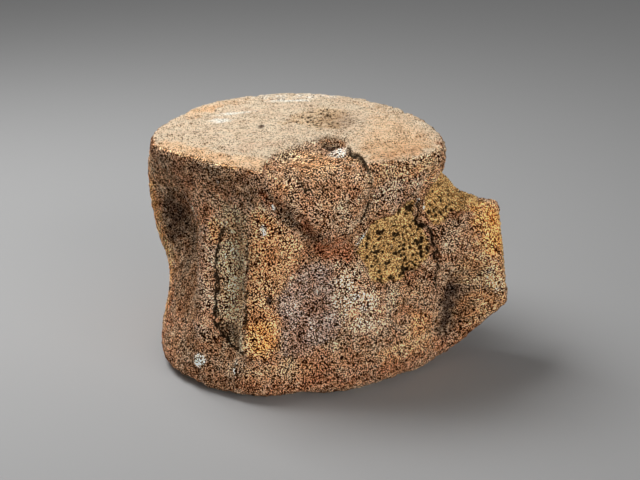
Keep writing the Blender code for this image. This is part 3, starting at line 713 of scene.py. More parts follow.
FIELDS: tuple[Field, ...] = (
    # Shade under the left rim
    Field(Zone.SHADE_AND_STAIN, ((-80, 0.186), (-45, 0.1875), (-14, 0.187), (-12, 0.18), (-30, 0.176),
        (-48, 0.177), (-80, 0.172)), 0.003, 0.45),
    Field(Zone.SHADE_AND_STAIN, ((-66, 0.182), (-48.4, 0.185), (-20.2, 0.184), (-12.4, 0.176), (-16, 0.16),
        (-30, 0.16), (-48, 0.16), (-74, 0.15)), 0.014, 0.34),
    # Far left: the dark hollow, in painted shade over its stain, the brown slope below it,
    # and the golden edge, brightened as a painted rim light
    Field(Zone.UMBER, ((-78.2, 0.118), (-67.2, 0.122), (-54.9, 0.1), (-38, 0.08), (-38.8, 0.058),
        (-53.1, 0.046), (-64.6, 0.05), (-77.5, 0.07)), 0.016, 0.8),
    Field(Zone.SHADE_AND_STAIN, ((-84, 0.131), (-69.9, 0.14), (-69, 0.123), (-74.6, 0.106), (-80.9, 0.096),
        (-84.1, 0.108)), 0.014, 0.62),
    Field(Zone.GOLD, ((-83, 0.15), (-82, 0.12), (-78, 0.095), (-76, 0.06), (-72, 0.03),
        (-84, 0.012), (-100, 0.03), (-104, 0.09), (-98, 0.15)), 0.014, 0.45),
    # Ridge left of the groove, and the orange spot on its edge
    Field(Zone.ASH, ((-40.2, 0.142), (-35.2, 0.126), (-36.4, 0.107), (-35.3, 0.098), (-34.8, 0.073),
        (-33.9, 0.058), (-36.8, 0.05), (-42, 0.067), (-50, 0.087), (-56, 0.11), (-50, 0.13)),
        0.016, 0.45),
    Field(Zone.MAUVE, ((-52, 0.13), (-42, 0.126), (-42, 0.1), (-46, 0.07), (-58, 0.08),
        (-64, 0.106)), 0.012, 0.7),
    Field(Zone.TAN, ((-36.4, 0.144), (-32.2, 0.14), (-33, 0.121), (-36.6, 0.124)), 0.005, 1),
    # The groove: olive grey, golden in its middle, with painted shade at its top and painted
    # shade, nearly black, at its foot
    Field(Zone.OLIVE, ((-31.5, 0.158), (-33.5, 0.119), (-35.4, 0.107), (-34.6, 0.098),
        (-34.2, 0.083), (-33.6, 0.054), (-29.5, 0.04), (-18.9, 0.039), (-19.3, 0.053),
        (-19.2, 0.086), (-20, 0.1), (-18.8, 0.122), (-18, 0.15)), 0.008, 0.85),
    Field(Zone.SHADE_AND_STAIN, ((-31, 0.16), (-33, 0.125), (-29, 0.112), (-21, 0.116), (-19.5, 0.15)),
        0.012, 0.1),
    Field(Zone.SHADE_AND_STAIN, ((-33.8, 0.056), (-28.8, 0.042), (-18.9, 0.038), (-18.6, 0.044),
        (-22.5, 0.054), (-30.1, 0.055)), 0.006, 0.15),
    Field(Zone.TAN, ((-30.5, 0.106), (-26, 0.108), (-23.6, 0.089), (-22, 0.07), (-26, 0.06),
        (-31.2, 0.062)), 0.01, 0.5),
    Field(Zone.SHADE_AND_STAIN, ((-33, 0.054), (-28, 0.043), (-21, 0.04), (-20.5, 0.046), (-25, 0.056),
        (-30, 0.058)), 0.004, 0.55),
    # Orange ground right of the groove
    Field(Zone.OCHRE, ((-14.1, 0.16), (-7.7, 0.15), (1.5, 0.135), (4, 0.112), (-3.7, 0.097),
        (-8.5, 0.082), (-7.6, 0.06), (-6.4, 0.044), (-11.1, 0.036), (-18, 0.04), (-19.2, 0.049),
        (-18.9, 0.068), (-19.3, 0.091), (-18.7, 0.114), (-17, 0.133)), 0.008, 0.72),
    Field(Zone.TAN, ((-15.8, 0.154), (-7.7, 0.15), (-6.5, 0.139), (-8.7, 0.128), (-10.2, 0.112),
        (-15.4, 0.117)), 0.008, 1),
    Field(Zone.RUST, ((-9.9, 0.118), (0.2, 0.12), (2.4, 0.103), (-3.7, 0.095), (-9.4, 0.094),
        (-11.4, 0.105)), 0.008, 1),
    Field(Zone.GOLD, ((-18.1, 0.066), (-12.7, 0.07), (-8, 0.064), (-7.1, 0.047), (-10.2, 0.038),
        (-16.2, 0.041), (-18.8, 0.05)), 0.01, 0.62),
    # Grey purple ground under the wedge, and the pale field right of it
    Field(Zone.MAUVE, ((-7.5, 0.079), (-2.9, 0.093), (2.7, 0.106), (10.1, 0.108), (16.9, 0.105),
        (19.1, 0.094), (17.4, 0.078), (19.8, 0.058), (13.5, 0.044), (1.2, 0.035), (-5.3, 0.04),
        (-7.6, 0.06)), 0.01, 0.9),
    Field(Zone.ASH, ((17.3, 0.108), (27.9, 0.103), (31.5, 0.088), (39.8, 0.072), (42.5, 0.058),
        (44.1, 0.046), (34.6, 0.045), (23.7, 0.052), (17.8, 0.064), (14.5, 0.078), (16.1, 0.098)),
        0.014, 0.8),
    # Red band under the wedge's left border and its tip, darkened as the painted shadow of the
    # wedge
    Field(Zone.RUST, ((-12.1, 0.178), (-6, 0.169), (1.2, 0.146), (11, 0.127), (22.9, 0.12),
        (25.5, 0.108), (14.4, 0.109), (3.4, 0.126), (-5.7, 0.15), (-13, 0.165)), 0.006, 1),
    Field(Zone.UMBER, ((-12, 0.18), (-6, 0.17), (1.2, 0.147), (9, 0.13), (6, 0.118), (-3, 0.137),
        (-10, 0.158)), 0.006, 0.75),
    Field(Zone.SHADE_AND_STAIN, ((-11.5, 0.176), (-6, 0.168), (1.2, 0.146), (8.5, 0.13), (7, 0.124),
        (-3, 0.145), (-9, 0.163)), 0.008, 0.6),
    # Wedge
    Field(Zone.TAN, ((-9.5, 0.184), (20.2, 0.188), (26.7, 0.186), (28, 0.175), (28.3, 0.164),
        (27.2, 0.148), (23.4, 0.136), (14.8, 0.133), (7.8, 0.144), (1.7, 0.16), (-4, 0.174)),
        0.008, 0.12),
    Field(Zone.RUST, ((10, 0.176), (24, 0.178), (25, 0.16), (14, 0.162)), 0.012, 0.4),
    Field(Zone.ASH, ((16, 0.16), (26, 0.158), (25, 0.142), (15, 0.142)), 0.012, 0.25),
    # Ground round the spongy patches
    Field(Zone.TAN, ((31, 0.19), (58.8, 0.19), (64.5, 0.16), (56, 0.152), (48.3, 0.156),
        (38.5, 0.158), (31.5, 0.17)), 0.012, 0.55),
    Field(Zone.UMBER, ((47.9, 0.106), (57.4, 0.11), (60.5, 0.087), (61.7, 0.062), (54.7, 0.061),
        (44.5, 0.078), (44.2, 0.09)), 0.012, 0.25),
    Field(Zone.MAUVE, ((33, 0.178), (52, 0.178), (56.5, 0.16), (48.2, 0.152), (41.3, 0.147),
        (34.5, 0.15), (31, 0.164)), 0.01, 0.5),
    Field(Zone.ASH, ((31, 0.172), (37, 0.172), (38, 0.152), (31, 0.146), (30.5, 0.16)), 0.01, 0.45),
    # Front of the broken process: grey, painted shade in the dark hollow, the bright strip and
    # the orange break
    Field(Zone.ASH, ((60.8, 0.126), (66.5, 0.126), (69, 0.12), (68.9, 0.092), (68.7, 0.078),
        (65.5, 0.074), (62.5, 0.091), (60.9, 0.11)), 0.01, 0.42),
    Field(Zone.SHADE_AND_STAIN, ((64, 0.062), (66, 0.08), (69.4, 0.082), (70.8, 0.066), (71.2, 0.05),
        (70, 0.034), (67.4, 0.022), (65.6, 0.026), (66, 0.042)), 0.01, 0.92),
    Field(Zone.TAN, ((69.2, 0.098), (71.6, 0.096), (74, 0.07), (74.8, 0.056), (73.2, 0.044),
        (72.4, 0.05), (71.1, 0.07)), 0.006, 1),
    Field(Zone.CHALK, ((70, 0.096), (71.4, 0.094), (73.6, 0.07), (74.2, 0.056), (72.8, 0.052),
        (71.4, 0.072)), 0.006, 0.26),
    Field(Zone.OCHRE, ((73.4, 0.06), (74.2, 0.048), (72.5, 0.03), (70.1, 0.016), (70.4, 0.028),
        (72.2, 0.044)), 0.008, 0.6),
    Field(Zone.GOLD, ((69, 0.128), (73, 0.136), (78.2, 0.134), (79.9, 0.116), (76.7, 0.1),
        (70.6, 0.099), (68.6, 0.11)), 0.008, 1),
    Field(Zone.OCHRE, ((49.3, 0.044), (58, 0.054), (63, 0.048), (66, 0.026), (62.2, 0.014),
        (50.4, 0.018), (45, 0.03)), 0.014, 0.62),
    # Flange of the base: rusty from the left round the front to the right, darker at the left and
    # tan at the front
    Field(Zone.RUST, ((134, 0.036), (176, 0.03), (-170, 0.02), (-172, 0.006), (134, 0.006)),
        0.016, 0.6),
    Field(Zone.UMBER, ((-60, 0.04), (-38.5, 0.055), (-32, 0.04), (-18.7, 0.031), (-18.7, 0.006),
        (-30.7, 0.004), (-50, 0.004)), 0.014, 0.55),
    Field(Zone.TAN, ((-16, 0.028), (-2.7, 0.03), (17.6, 0.042), (40.2, 0.034), (56.5, 0.018),
        (43.8, 0.008), (12.5, 0.01), (-15.6, 0.012)), 0.014, 0.22),
    # Far side
    Field(Zone.UMBER, ((132, 0.17), (168, 0.17), (167, 0.06), (150, 0.04), (133, 0.06)),
        0.018, 0.75),
    Field(Zone.ASH, ((-176, 0.06), (-160, 0.07), (-156, 0.12), (-164, 0.16), (-178, 0.15)),
        0.018, 0.6),
    Field(Zone.OCHRE, ((-130, 0.03), (-106, 0.026), (-104, 0.07), (-112, 0.12), (-126, 0.13)),
        0.018, 0.6),
    Field(Zone.MAUVE, ((92, 0.04), (114, 0.03), (116, 0.08), (112, 0.15), (98, 0.14)), 0.018, 0.65),
    # Broken bed, the notch at its top with the painted shadow of its overhang, and the pitted
    # middle of the upper end plate
    Field(Zone.UMBER, ((-0.022, -0.108), (-0.01, -0.07), (0.018, -0.038), (0.03, -0.04),
        (0.038, -0.07), (0.046, -0.09), (0.05, -0.112)), 0.008, 0.5, on_plate=True),
    Field(Zone.UMBER, ((0.018, -0.04), (0.024, -0.03), (0.04, -0.038), (0.042, -0.06),
        (0.03, -0.054)), 0.006, 0.6, on_plate=True),
    Field(Zone.OLIVE, ((-0.016, 0.004), (0, 0.04), (0.02, 0.056), (0.044, 0.044), (0.046, 0.006),
        (0.036, -0.03), (0.018, -0.026), (0, -0.014)), 0.02, 0.66, on_plate=True),
    Field(Zone.UMBER, ((0.013, 0.004), (0.018, 0.032), (0.032, 0.042), (0.048, 0.026),
        (0.05, 0.002), (0.034, -0.014), (0.02, -0.01)), 0.014, 0.8, on_plate=True),
    Field(Zone.SHADE_AND_STAIN, ((0.015, 0.012), (0.021, 0.028), (0.034, 0.032), (0.044, 0.016),
        (0.038, -0.004), (0.024, -0.004)), 0.012, 0.18, on_plate=True),
    Field(Zone.SHADE_AND_STAIN, ((0.017, -0.038), (0.024, -0.029), (0.033, -0.033), (0.033, -0.04),
        (0.024, -0.044)), 0.0036, 0.48, on_plate=True),
    # Apricot toward the right and round the rim
    Field(Zone.APRICOT, ((0.06, 0.05), (0.104, -0.003), (0.116, -0.059), (0.095, -0.084),
        (0.064, -0.094), (0.047, -0.076), (0.044, -0.045), (0.055, -0.003)),
        0.03, 0.8, on_plate=True),
    Field(Zone.APRICOT, ((-0.116, -0.052), (-0.091, -0.07), (-0.054, -0.098), (-0.024, -0.116),
        (-0.022, -0.09), (-0.052, -0.08), (-0.085, -0.054), (-0.104, -0.038)),
        0.012, 0.9, on_plate=True),
    Field(Zone.APRICOT, ((-0.1, 0.049), (-0.078, 0.071), (-0.066, 0.062), (-0.078, 0.04),
        (-0.096, 0.024)), 0.012, 0.8, on_plate=True),
)

PLATE_STAINS: tuple[PlateStain, ...] = (
    # Pitted middle, the dark hole painted in as shade, painted shadow under the notch's overhang,
    # and the bed below it
    PlateStain(Zone.OLIVE, 0.018, 0.028, 0.036, 0.028, 0.6, 25),
    PlateStain(Zone.SHADE_AND_STAIN, -0.03, -0.009, 0.003, 0.0078, 1, -12),
    PlateStain(Zone.SHADE_AND_STAIN, 0.0285, -0.04, 0.01, 0.006, 0.95, -40),
    PlateStain(Zone.CHALK, 0.0315, -0.063, 0.008, 0.012, 0.52, 0),
    PlateStain(Zone.TAN, 0.012, -0.08, 0.024, 0.022, 0.7, 0),
    PlateStain(Zone.OCHRE, 0.026, -0.088, 0.012, 0.014, 0.4, 0),
    # Toward the right front rim the plate is worn to a brown, grainy slope
    PlateStain(Zone.TAN, 0.075, -0.062, 0.046, 0.022, 0.75, 42),
    PlateStain(Zone.OCHRE, 0.08, -0.076, 0.04, 0.009, 0.75, 42),
    # Tan and ochre near the rest of the rim, and an olive spot left of the broken bed
    PlateStain(Zone.TAN, -0.07, -0.086, 0.05, 0.012, 0.8, -38),
    PlateStain(Zone.TAN, -0.03, -0.106, 0.03, 0.007, 0.5, -10),
    PlateStain(Zone.OLIVE, -0.014, -0.072, 0.016, 0.01, 0.5, 35),
    PlateStain(Zone.TAN, 0.085, 0.04, 0.04, 0.026, 0.4, -50),
    PlateStain(Zone.OCHRE, 0.05, 0.072, 0.04, 0.008, 0.35, -30),
    PlateStain(Zone.TAN, -0.07, 0.068, 0.036, 0.012, 0.6, 42),
    # Ashy and white patches, and small marks at the right
    PlateStain(Zone.ASH, -0.03, -0.06, 0.034, 0.014, 0.4, 10),
    PlateStain(Zone.ASH, 0.02, -0.02, 0.034, 0.01, 0.35, -10),
    PlateStain(Zone.ASH, -0.05, 0.04, 0.02, 0.014, 0.35, 30),
    PlateStain(Zone.CHALK, -0.055, 0.035, 0.018, 0.005, 0.7, 20),
    PlateStain(Zone.CHALK, -0.01, 0.08, 0.022, 0.006, 0.65, 5),
    PlateStain(Zone.CHALK, 0, 0.1, 0.06, 0.012, 0.36, 0),
    PlateStain(Zone.CHALK, -0.064, 0.012, 0.01, 0.007, 0.7, 0),
    PlateStain(Zone.OLIVE, 0.085, -0.012, 0.014, 0.0035, 0.7, 10),
    PlateStain(Zone.RUST, 0.114, -0.046, 0.004, 0.01, 0.8, 20),
)


@dataclass
class BoneSkin:
    """The whole surface of the bone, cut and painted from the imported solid."""

    voxel: float = 0.0021
    melt_steps: int = 2
    fine_reach: float = 0.0040
    most_triangles: int = 194_000
    floor: float = 0.0001
    plate_edge: float = 0.0048
    plate_fade: float = 0.0012
    rim_depth: float = 0.0042
    rim_half: float = 0.0036
    rim_tan: float = 0.25
    crack_bend: float = 0.0019
    # Height, waves for each metre and octaves of each layer of bumps
    bumps: tuple[tuple[float, float, int], ...] = (
        (0.00080, 60.0, 3), (0.00070, 150.0, 2), (0.00070, 340.0, 2),
    )
    plate_share: float = 0.22
    pit_depth: float = 0.00060
    streak_height: float = 0.00040
    streak_stretch: float = 6.0
    chip_depth: float = 0.0020
    plate_dip: float = 0.00050
    foot_wear: float = 0.0036
    foot_waver: float = 0.0060
    foot_height: float = 0.009

    def build(self) -> bpy.types.Object:
        """Makes the skin as one closed mesh.

        Returns:
            The skin, painted but without its material.
        """
        skin = self.copy_solid()
        self.refine(skin)
        at = Places(skin.data)
        self.cut(skin, at, self.paint(skin, at))
        self.thin(skin)
        return skin

    def copy_solid(self) -> bpy.types.Object:
        """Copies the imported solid's surface, evens it out and smooths it.

        Returns:
            The copy, with nothing painted on it.
        """
        skin = bpy.data.objects.new("bone_skin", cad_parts[NODE].data.copy())
        bpy.context.scene.collection.objects.link(skin)
        skin.data.materials.clear()
        bpy.ops.object.select_all(action="DESELECT")
        bpy.context.view_layer.objects.active = skin
        skin.select_set(True)
        bpy.ops.object.mode_set(mode="EDIT")
        bpy.ops.mesh.select_all(action="SELECT")
        bpy.ops.mesh.remove_doubles(threshold=1e-5)
        bpy.ops.object.mode_set(mode="OBJECT")
        even = skin.modifiers.new("even", "REMESH")
        even.mode, even.voxel_size = "VOXEL", self.voxel
        melt = skin.modifiers.new("melt", "SMOOTH")
        melt.factor, melt.iterations = 0.5, self.melt_steps
        halve = skin.modifiers.new("halve", "SUBSURF")
        halve.levels = halve.render_levels = 1
        for name in ("even", "melt", "halve"):
            bpy.ops.object.modifier_apply(modifier=name)
        return skin

    def refine(self, skin: bpy.types.Object) -> None:
        """Halves the faces where the pores, the cracks and the broken edges will be.

        Args:
            skin: The even copy of the solid.
        """
        mesh = skin.data
        at = Places(mesh)
        fine = np.zeros(len(at.points), bool)
        for sponge in SPONGES:
            fine |= sponge.inner(at) > -self.fine_reach / 2.0
        for path, across, up, held in (
            *((unrolled(c.path), at.round, at.z, at.on_wall) for c in CRACKS if not c.on_plate),
            (unrolled(WEDGE_LEFT), at.round, at.z, at.on_wall),
            (BITE_RIGHT, at.x, at.y, at.on_top),
            (NOTCH.outline, at.x, at.y, at.on_top),
        ):
            signed, _ = signed_distance(across, up, path)
            fine |= (np.abs(signed) < self.fine_reach) & held
        corners = np.empty(len(mesh.loops), np.int32)
        mesh.loops.foreach_get("vertex_index", corners)
        starts = np.empty(len(mesh.polygons), np.int32)
        mesh.polygons.foreach_get("loop_start", starts)
        chosen = np.logical_or.reduceat(fine[corners], starts)
        bpy.ops.object.mode_set(mode="EDIT")
        bpy.ops.mesh.select_mode(type="FACE")
        bpy.ops.mesh.select_all(action="DESELECT")
        bpy.ops.object.mode_set(mode="OBJECT")
        mesh.polygons.foreach_set("select", chosen)
        bpy.ops.object.mode_set(mode="EDIT")
        bpy.ops.mesh.subdivide(number_cuts=1, smoothness=0.0)
        bpy.ops.object.mode_set(mode="OBJECT")
        LOG.info("refined skin: %d points", len(mesh.vertices))

    def paint(self, skin: bpy.types.Object, at: Places) -> dict[Line, Array]:
        """Writes each zone's mask and each fine line's distance as attributes of the mesh.

        Args:
            skin: The skin before it is cut.
            at: Its points.

        Returns:
            The distances of the fine lines.
        """
        count = len(at.points)
        masks = {zone: np.zeros(count) for zone in Zone}
        masks[Zone.END_PLATE] = self.plate_mask(at)
        for stain in (*STAINS, *FIELDS, *PLATE_STAINS):
            masks[stain.zone] = np.maximum(masks[stain.zone], stain.mask(at))
        below = at.z - BONE_HEIGHT + self.rim_depth + 0.0012 * at.wobble
        rim = smooth_step(1.0 - np.abs(below) / self.rim_half)
        masks[Zone.TAN] = np.maximum(masks[Zone.TAN], self.rim_tan * rim * at.on_wall)
        lines = {Line.PORE: np.full(count, 2.0), Line.CRACK: np.full(count, FAR_AWAY)}
        lines[Line.CRACK_NEAR] = np.zeros(count)
        for sponge in SPONGES:
            mask = sponge.mask(at)
            masks[Zone.SPONGY] = np.maximum(masks[Zone.SPONGY], mask)
            near = sponge.nearness(at, mask) + 1.6 * (1.0 - np.minimum(2.0 * mask, 1.0))
            lines[Line.PORE] = np.minimum(lines[Line.PORE], near)
        bend = self.crack_bend * at.noise(210.0, 2)
        for crack in CRACKS:
            signed, near = crack.distance(at, bend)
            thinner = signed * LINE_WIDTH / crack.width
            nearer = np.abs(thinner) < np.abs(lines[Line.CRACK])
            lines[Line.CRACK] = np.where(nearer & (near > 0.0), thinner, lines[Line.CRACK])
            lines[Line.CRACK_NEAR] = np.maximum(lines[Line.CRACK_NEAR], near)
        for name, values in (*masks.items(), *lines.items()):
            layer = skin.data.attributes.new(name.value, "FLOAT", "POINT")
            layer.data.foreach_set("value", values.astype(np.float32))
        return lines

    def plate_mask(self, at: Places) -> Array:
        """Where the smooth end plates are, sharp at the rims and fading into the broken bed.

        Args:
            at: The mesh's points.

        Returns:
            One share for each point.
        """
        uneven = 0.0009 * at.wobble
        sharp = smooth_step((at.z + uneven - (BONE_HEIGHT - self.plate_edge)) / self.plate_fade)
        bed = depth_inside(at.x, at.y, BITE_LEFT + BITE_RIGHT + BED_FRONT)
        within = smooth_step(bed / 0.004 + 0.5 + 0.6 * at.wobble)
        upper = sharp * (1.0 - within * 0.85)
        return np.maximum(upper, smooth_step((0.0016 - at.z) / 0.0010))

    def cut(self, skin: bpy.types.Object, at: Places, lines: dict[Line, Array]) -> None:
        """Moves the points to give the cortex, breaks, pores, cracks and chips their shape.

        Args:
            skin: The painted skin.
            at: Its points.
            lines: The distances of the fine lines.
        """
        move = self.roughness(at)
        for ledge in WALL_LEDGES:
            move += ledge.lift(at.round, at.z, at) * at.on_wall * at.below_rim
        for dent in DENTS:
            move -= dent.sink(at)
        for sponge in SPONGES:
            mask = sponge.mask(at)
            hole = smooth_step((1.08 - lines[Line.PORE]) / 0.5) * (mask > 0.02)
            move -= sponge.recess * mask + sponge.pore_depth * hole
        bend = self.crack_bend * at.noise(210.0, 2)
        for crack in CRACKS:
            move -= crack.depth * crack.hold(*crack.distance(at, bend))
        moved = at.points + at.normals * move[:, None]
        moved[:, :2] -= np.stack((at.x, at.y), 1) * self.foot_share(at)[:, None]
        moved[:, 2] -= NOTCH.sink(at)
        moved[:, 2] += PLATE_LEDGE.lift(at.x, at.y, at) * at.on_top
        moved[at.z < 3.0 * self.floor, 2] = self.floor
        moved[:, 2] = np.maximum(moved[:, 2], self.floor)
        skin.data.vertices.foreach_set("co", moved.astype(np.float32).ravel())
        skin.data.update()

    def roughness(self, at: Places) -> Array:
        """Bumps, pits and streaks of the cortex, chips of the rim and dips of the end plates.

        Args:
            at: The mesh's points.

        Returns:
            How far each point moves outward.
        """
        wall = self.plate_share + (1.0 - self.plate_share) * at.below_rim
        move = np.zeros(len(at.points))
        for height, scale, octaves in self.bumps:
            move += height * at.noise(scale, octaves) * wall
        move -= self.pit_depth * smooth_step((at.noise(230.0, 2) - 0.10) / 0.30) * at.below_rim
        move += self.streak_height * at.noise(200.0, 2, self.streak_stretch) * at.below_rim
        rim = at.on_wall * smooth_step((at.z - BONE_HEIGHT + 0.009) / 0.007)
        move -= self.chip_depth * rim * smooth_step((at.noise(85.0, 2) - 0.12) / 0.20)
        move += self.plate_dip * np.minimum(at.noise(120.0, 2), 0.0) * (1.0 - at.below_rim)
        return move

    def foot_share(self, at: Places) -> Array:
        """How far the worn foot draws in.

        Args:
            at: The mesh's points.

        Returns:
            A share of each point's distance to the upright axis.
        """
        worn = np.maximum(self.foot_wear + self.foot_waver * at.noise(38.0, 2), 0.0)
        worn *= smooth_step((self.foot_height - at.z) / self.foot_height)
        return worn * (smooth_step((at.radius - 0.050) / 0.040) / np.maximum(at.radius, 0.001))

    def thin(self, skin: bpy.types.Object) -> None:
        """Brings the mesh under its limit of triangles, keeping them where it is rough.

        Args:
            skin: The skin after it is cut.
        """
        skin.data.calc_loop_triangles()
        count = len(skin.data.loop_triangles)
        fewer = skin.modifiers.new("fewer", "DECIMATE")
        fewer.ratio = min(1.0, self.most_triangles / count)
        bpy.ops.object.modifier_apply(modifier="fewer")
        skin.data.shade_smooth()
        LOG.info("thinned skin: %d triangles to %d faces", count, len(skin.data.polygons))


@dataclass(frozen=True)
class BoneFinish:
    """Colours of the bone's zones and the size of its grain."""

    name: str = "weathered_bone"
    cortex: Colour = (0.425, 0.255, 0.152)
    end_plate: Colour = (0.680, 0.525, 0.365)
    spongy: Colour = (0.800, 0.475, 0.180)
    # Near black: painted shade in the pores, cracks and pinholes
    pore: Colour = (0.022, 0.012, 0.006)
    ochre: Colour = (0.640, 0.345, 0.170)
    rust: Colour = (0.395, 0.168, 0.088)
    ash: Colour = (0.650, 0.435, 0.290)
    mauve: Colour = (0.400, 0.255, 0.190)
    olive: Colour = (0.580, 0.410, 0.258)
    # Near black brown of painted shade in hollows, creases and under overhangs, and of dark stain
    soot: Colour = (0.085, 0.048, 0.030)
    tan: Colour = (0.700, 0.420, 0.220)
    umber: Colour = (0.300, 0.170, 0.098)
    gold: Colour = (0.860, 0.440, 0.155)
    apricot: Colour = (0.760, 0.515, 0.310)
    chalk: Colour = (0.860, 0.800, 0.690)
    grain_scale: float = 1000.0
    speck_scale: float = 760.0
    clump_scale: float = 170.0
    blotch_scale: float = 62.0
    patch_scale: float = 34.0
    pinhole_scale: float = 270.0
    pinhole_stretch: Triple = (1.0, 0.45, 1.0)
    bump: float = 0.0012
    roughness: float = 0.85
    blotches: Stops = (
        (0.30, (0.64, 0.50, 0.40)), (0.44, (1.00, 0.86, 0.72)), (0.56, (1.02, 1.06, 1.04)),
        (0.72, (1.34, 1.44, 1.44)),
    )
    wall_grain: Stops = (
        (0.25, (3.30, 4.30, 5.30)), (0.38, (2.90, 3.10, 3.15)), (0.46, (1.62, 1.22, 0.75)),
        (0.51, (0.28, 0.09, 0.02)), (0.62, (0.02, 0.005, 0.0)),
    )
    plate_grain: Stops = (
        (0.34, (1.42, 1.50, 1.62)), (0.58, (1.30, 1.34, 1.38)), (0.66, (0.90, 0.84, 0.74)),
        (0.73, (0.16, 0.09, 0.04)),
    )
    even_grain: Colour = (1.05, 1.0, 0.9)


class Signal:
    """A socket of a shader with the sums that are written on it."""

    def __init__(self, book: "ShaderBook", socket: bpy.types.NodeSocket) -> None:
        """Wraps an output socket of a node in the book."""
        self.book = book
        self.socket = socket

    def math(self, operation: str, *others: "Signal | float") -> "Signal":
        """Result of a Math node on this value and the ones after it."""
        inputs = dict(enumerate((self, *others)))
        return self.book.add("ShaderNodeMath", {"operation": operation}, inputs)

    def __add__(self, other: "Signal | float") -> "Signal":
        """Sum."""
        return self.math("ADD", other)

    __radd__ = __add__

    def __sub__(self, other: "Signal | float") -> "Signal":
        """Difference."""
        return self.math("SUBTRACT", other)

    def __rsub__(self, other: float) -> "Signal":
        """Difference from a number."""
        return self.math("MULTIPLY", -1.0) + other

    def __mul__(self, other: "Signal | float") -> "Signal":
        """Product."""
        return self.math("MULTIPLY", other)

    __rmul__ = __mul__

    def __abs__(self) -> "Signal":
        """Size without the sign."""
        return self.math("ABSOLUTE")

    def held(self) -> "Signal":
        """This value kept from 0 to 1."""
        return self.math("MAXIMUM", 0.0).math("MINIMUM", 1.0)


class ShaderBook:
    """The node tree of one material."""

    def __init__(self, name: str) -> None:
        """Starts a material.

        Args:
            name: The material's name.
        """
        self.material = bpy.data.materials.new(name)
        self.material.use_nodes = True
        self.tree = self.material.node_tree
        self.tree.nodes.clear()

    def add(
        self,
        kind: str,
        settings: dict[str, object] | None = None,
        inputs: dict[int | str, object] | None = None,
        output: int | str = 0,
    ) -> Signal:
        """Adds a node.

        Args:
            kind: The node's type.
            settings: What is set on the node before its sockets, such as its operation, or the
                stops of its ramp as pairs of a place and a colour.
            inputs: Value or signal of each socket, by its number or name.
            output: The socket that is given back.

        Returns:
            The chosen output.
        """
        node = self.tree.nodes.new(kind)
        for key, value in (settings or {}).items():
            if key == "stops":
                self.set_stops(node.color_ramp, value)
            else:
                setattr(node, key, value)
        for key, value in (inputs or {}).items():
            if isinstance(value, Signal):
                self.tree.links.new(value.socket, node.inputs[key])
            else:
                node.inputs[key].default_value = value
        return Signal(self, node.outputs[output] if node.outputs else None)

    @staticmethod
    def set_stops(ramp: bpy.types.ColorRamp, stops: Stops) -> None:
        """Gives a colour ramp its stops.

        Args:
            ramp: The ramp.
            stops: Its places and colours, in order.
        """
        while len(ramp.elements) < len(stops):
            ramp.elements.new(0.5)
        for element, (place, colour) in zip(ramp.elements, stops):
            element.position = place
            element.color = (*colour, 1.0)

    def mix(
        self, share: Signal | float, first: object, second: object, blend: str = "MIX"
    ) -> Signal:
        """Blend of two colours.

        Args:
            share: How much of the second is taken.
            first: Colour or signal at 0.
            second: Colour or signal at 1.
            blend: The way they are blended.

        Returns:
            The blended colour.
        """
        settings = {"data_type": "RGBA", "blend_type": blend}
        inputs = {0: share, 6: self.colour(first), 7: self.colour(second)}
        return self.add("ShaderNodeMix", settings, inputs, 2)

    @staticmethod
    def colour(value: object) -> object:
        """A colour with its alpha, or the signal as it is."""
        return value if isinstance(value, Signal) else (*value, 1.0)

    def ramp(self, value: Signal, stops: Stops) -> Signal:
        """Colour of a ramp at a value."""
        return self.add("ShaderNodeValToRGB", {"stops": stops}, {"Fac": value}, "Color")

    def painted(self, name: Zone | Line) -> Signal:
        """A mask or a distance painted on the piece."""
        settings = {"attribute_name": name.value, "attribute_type": "GEOMETRY"}
        return self.add("ShaderNodeAttribute", settings, output="Fac")

    def noise(self, place: Signal, scale: float, detail: float, roughness: float) -> Signal:
        """Noise over the piece, about from 0.2 to 0.8."""
        inputs = {"Vector": place, "Scale": scale, "Detail": detail, "Roughness": roughness}
        return self.add("ShaderNodeTexNoise", {}, inputs, "Fac")


@dataclass
class Grain:
    """Patterns that break up every colour of the bone."""

    random: Signal
    gap: Signal
    clump: Signal
    blotch: Signal
    patch: Signal


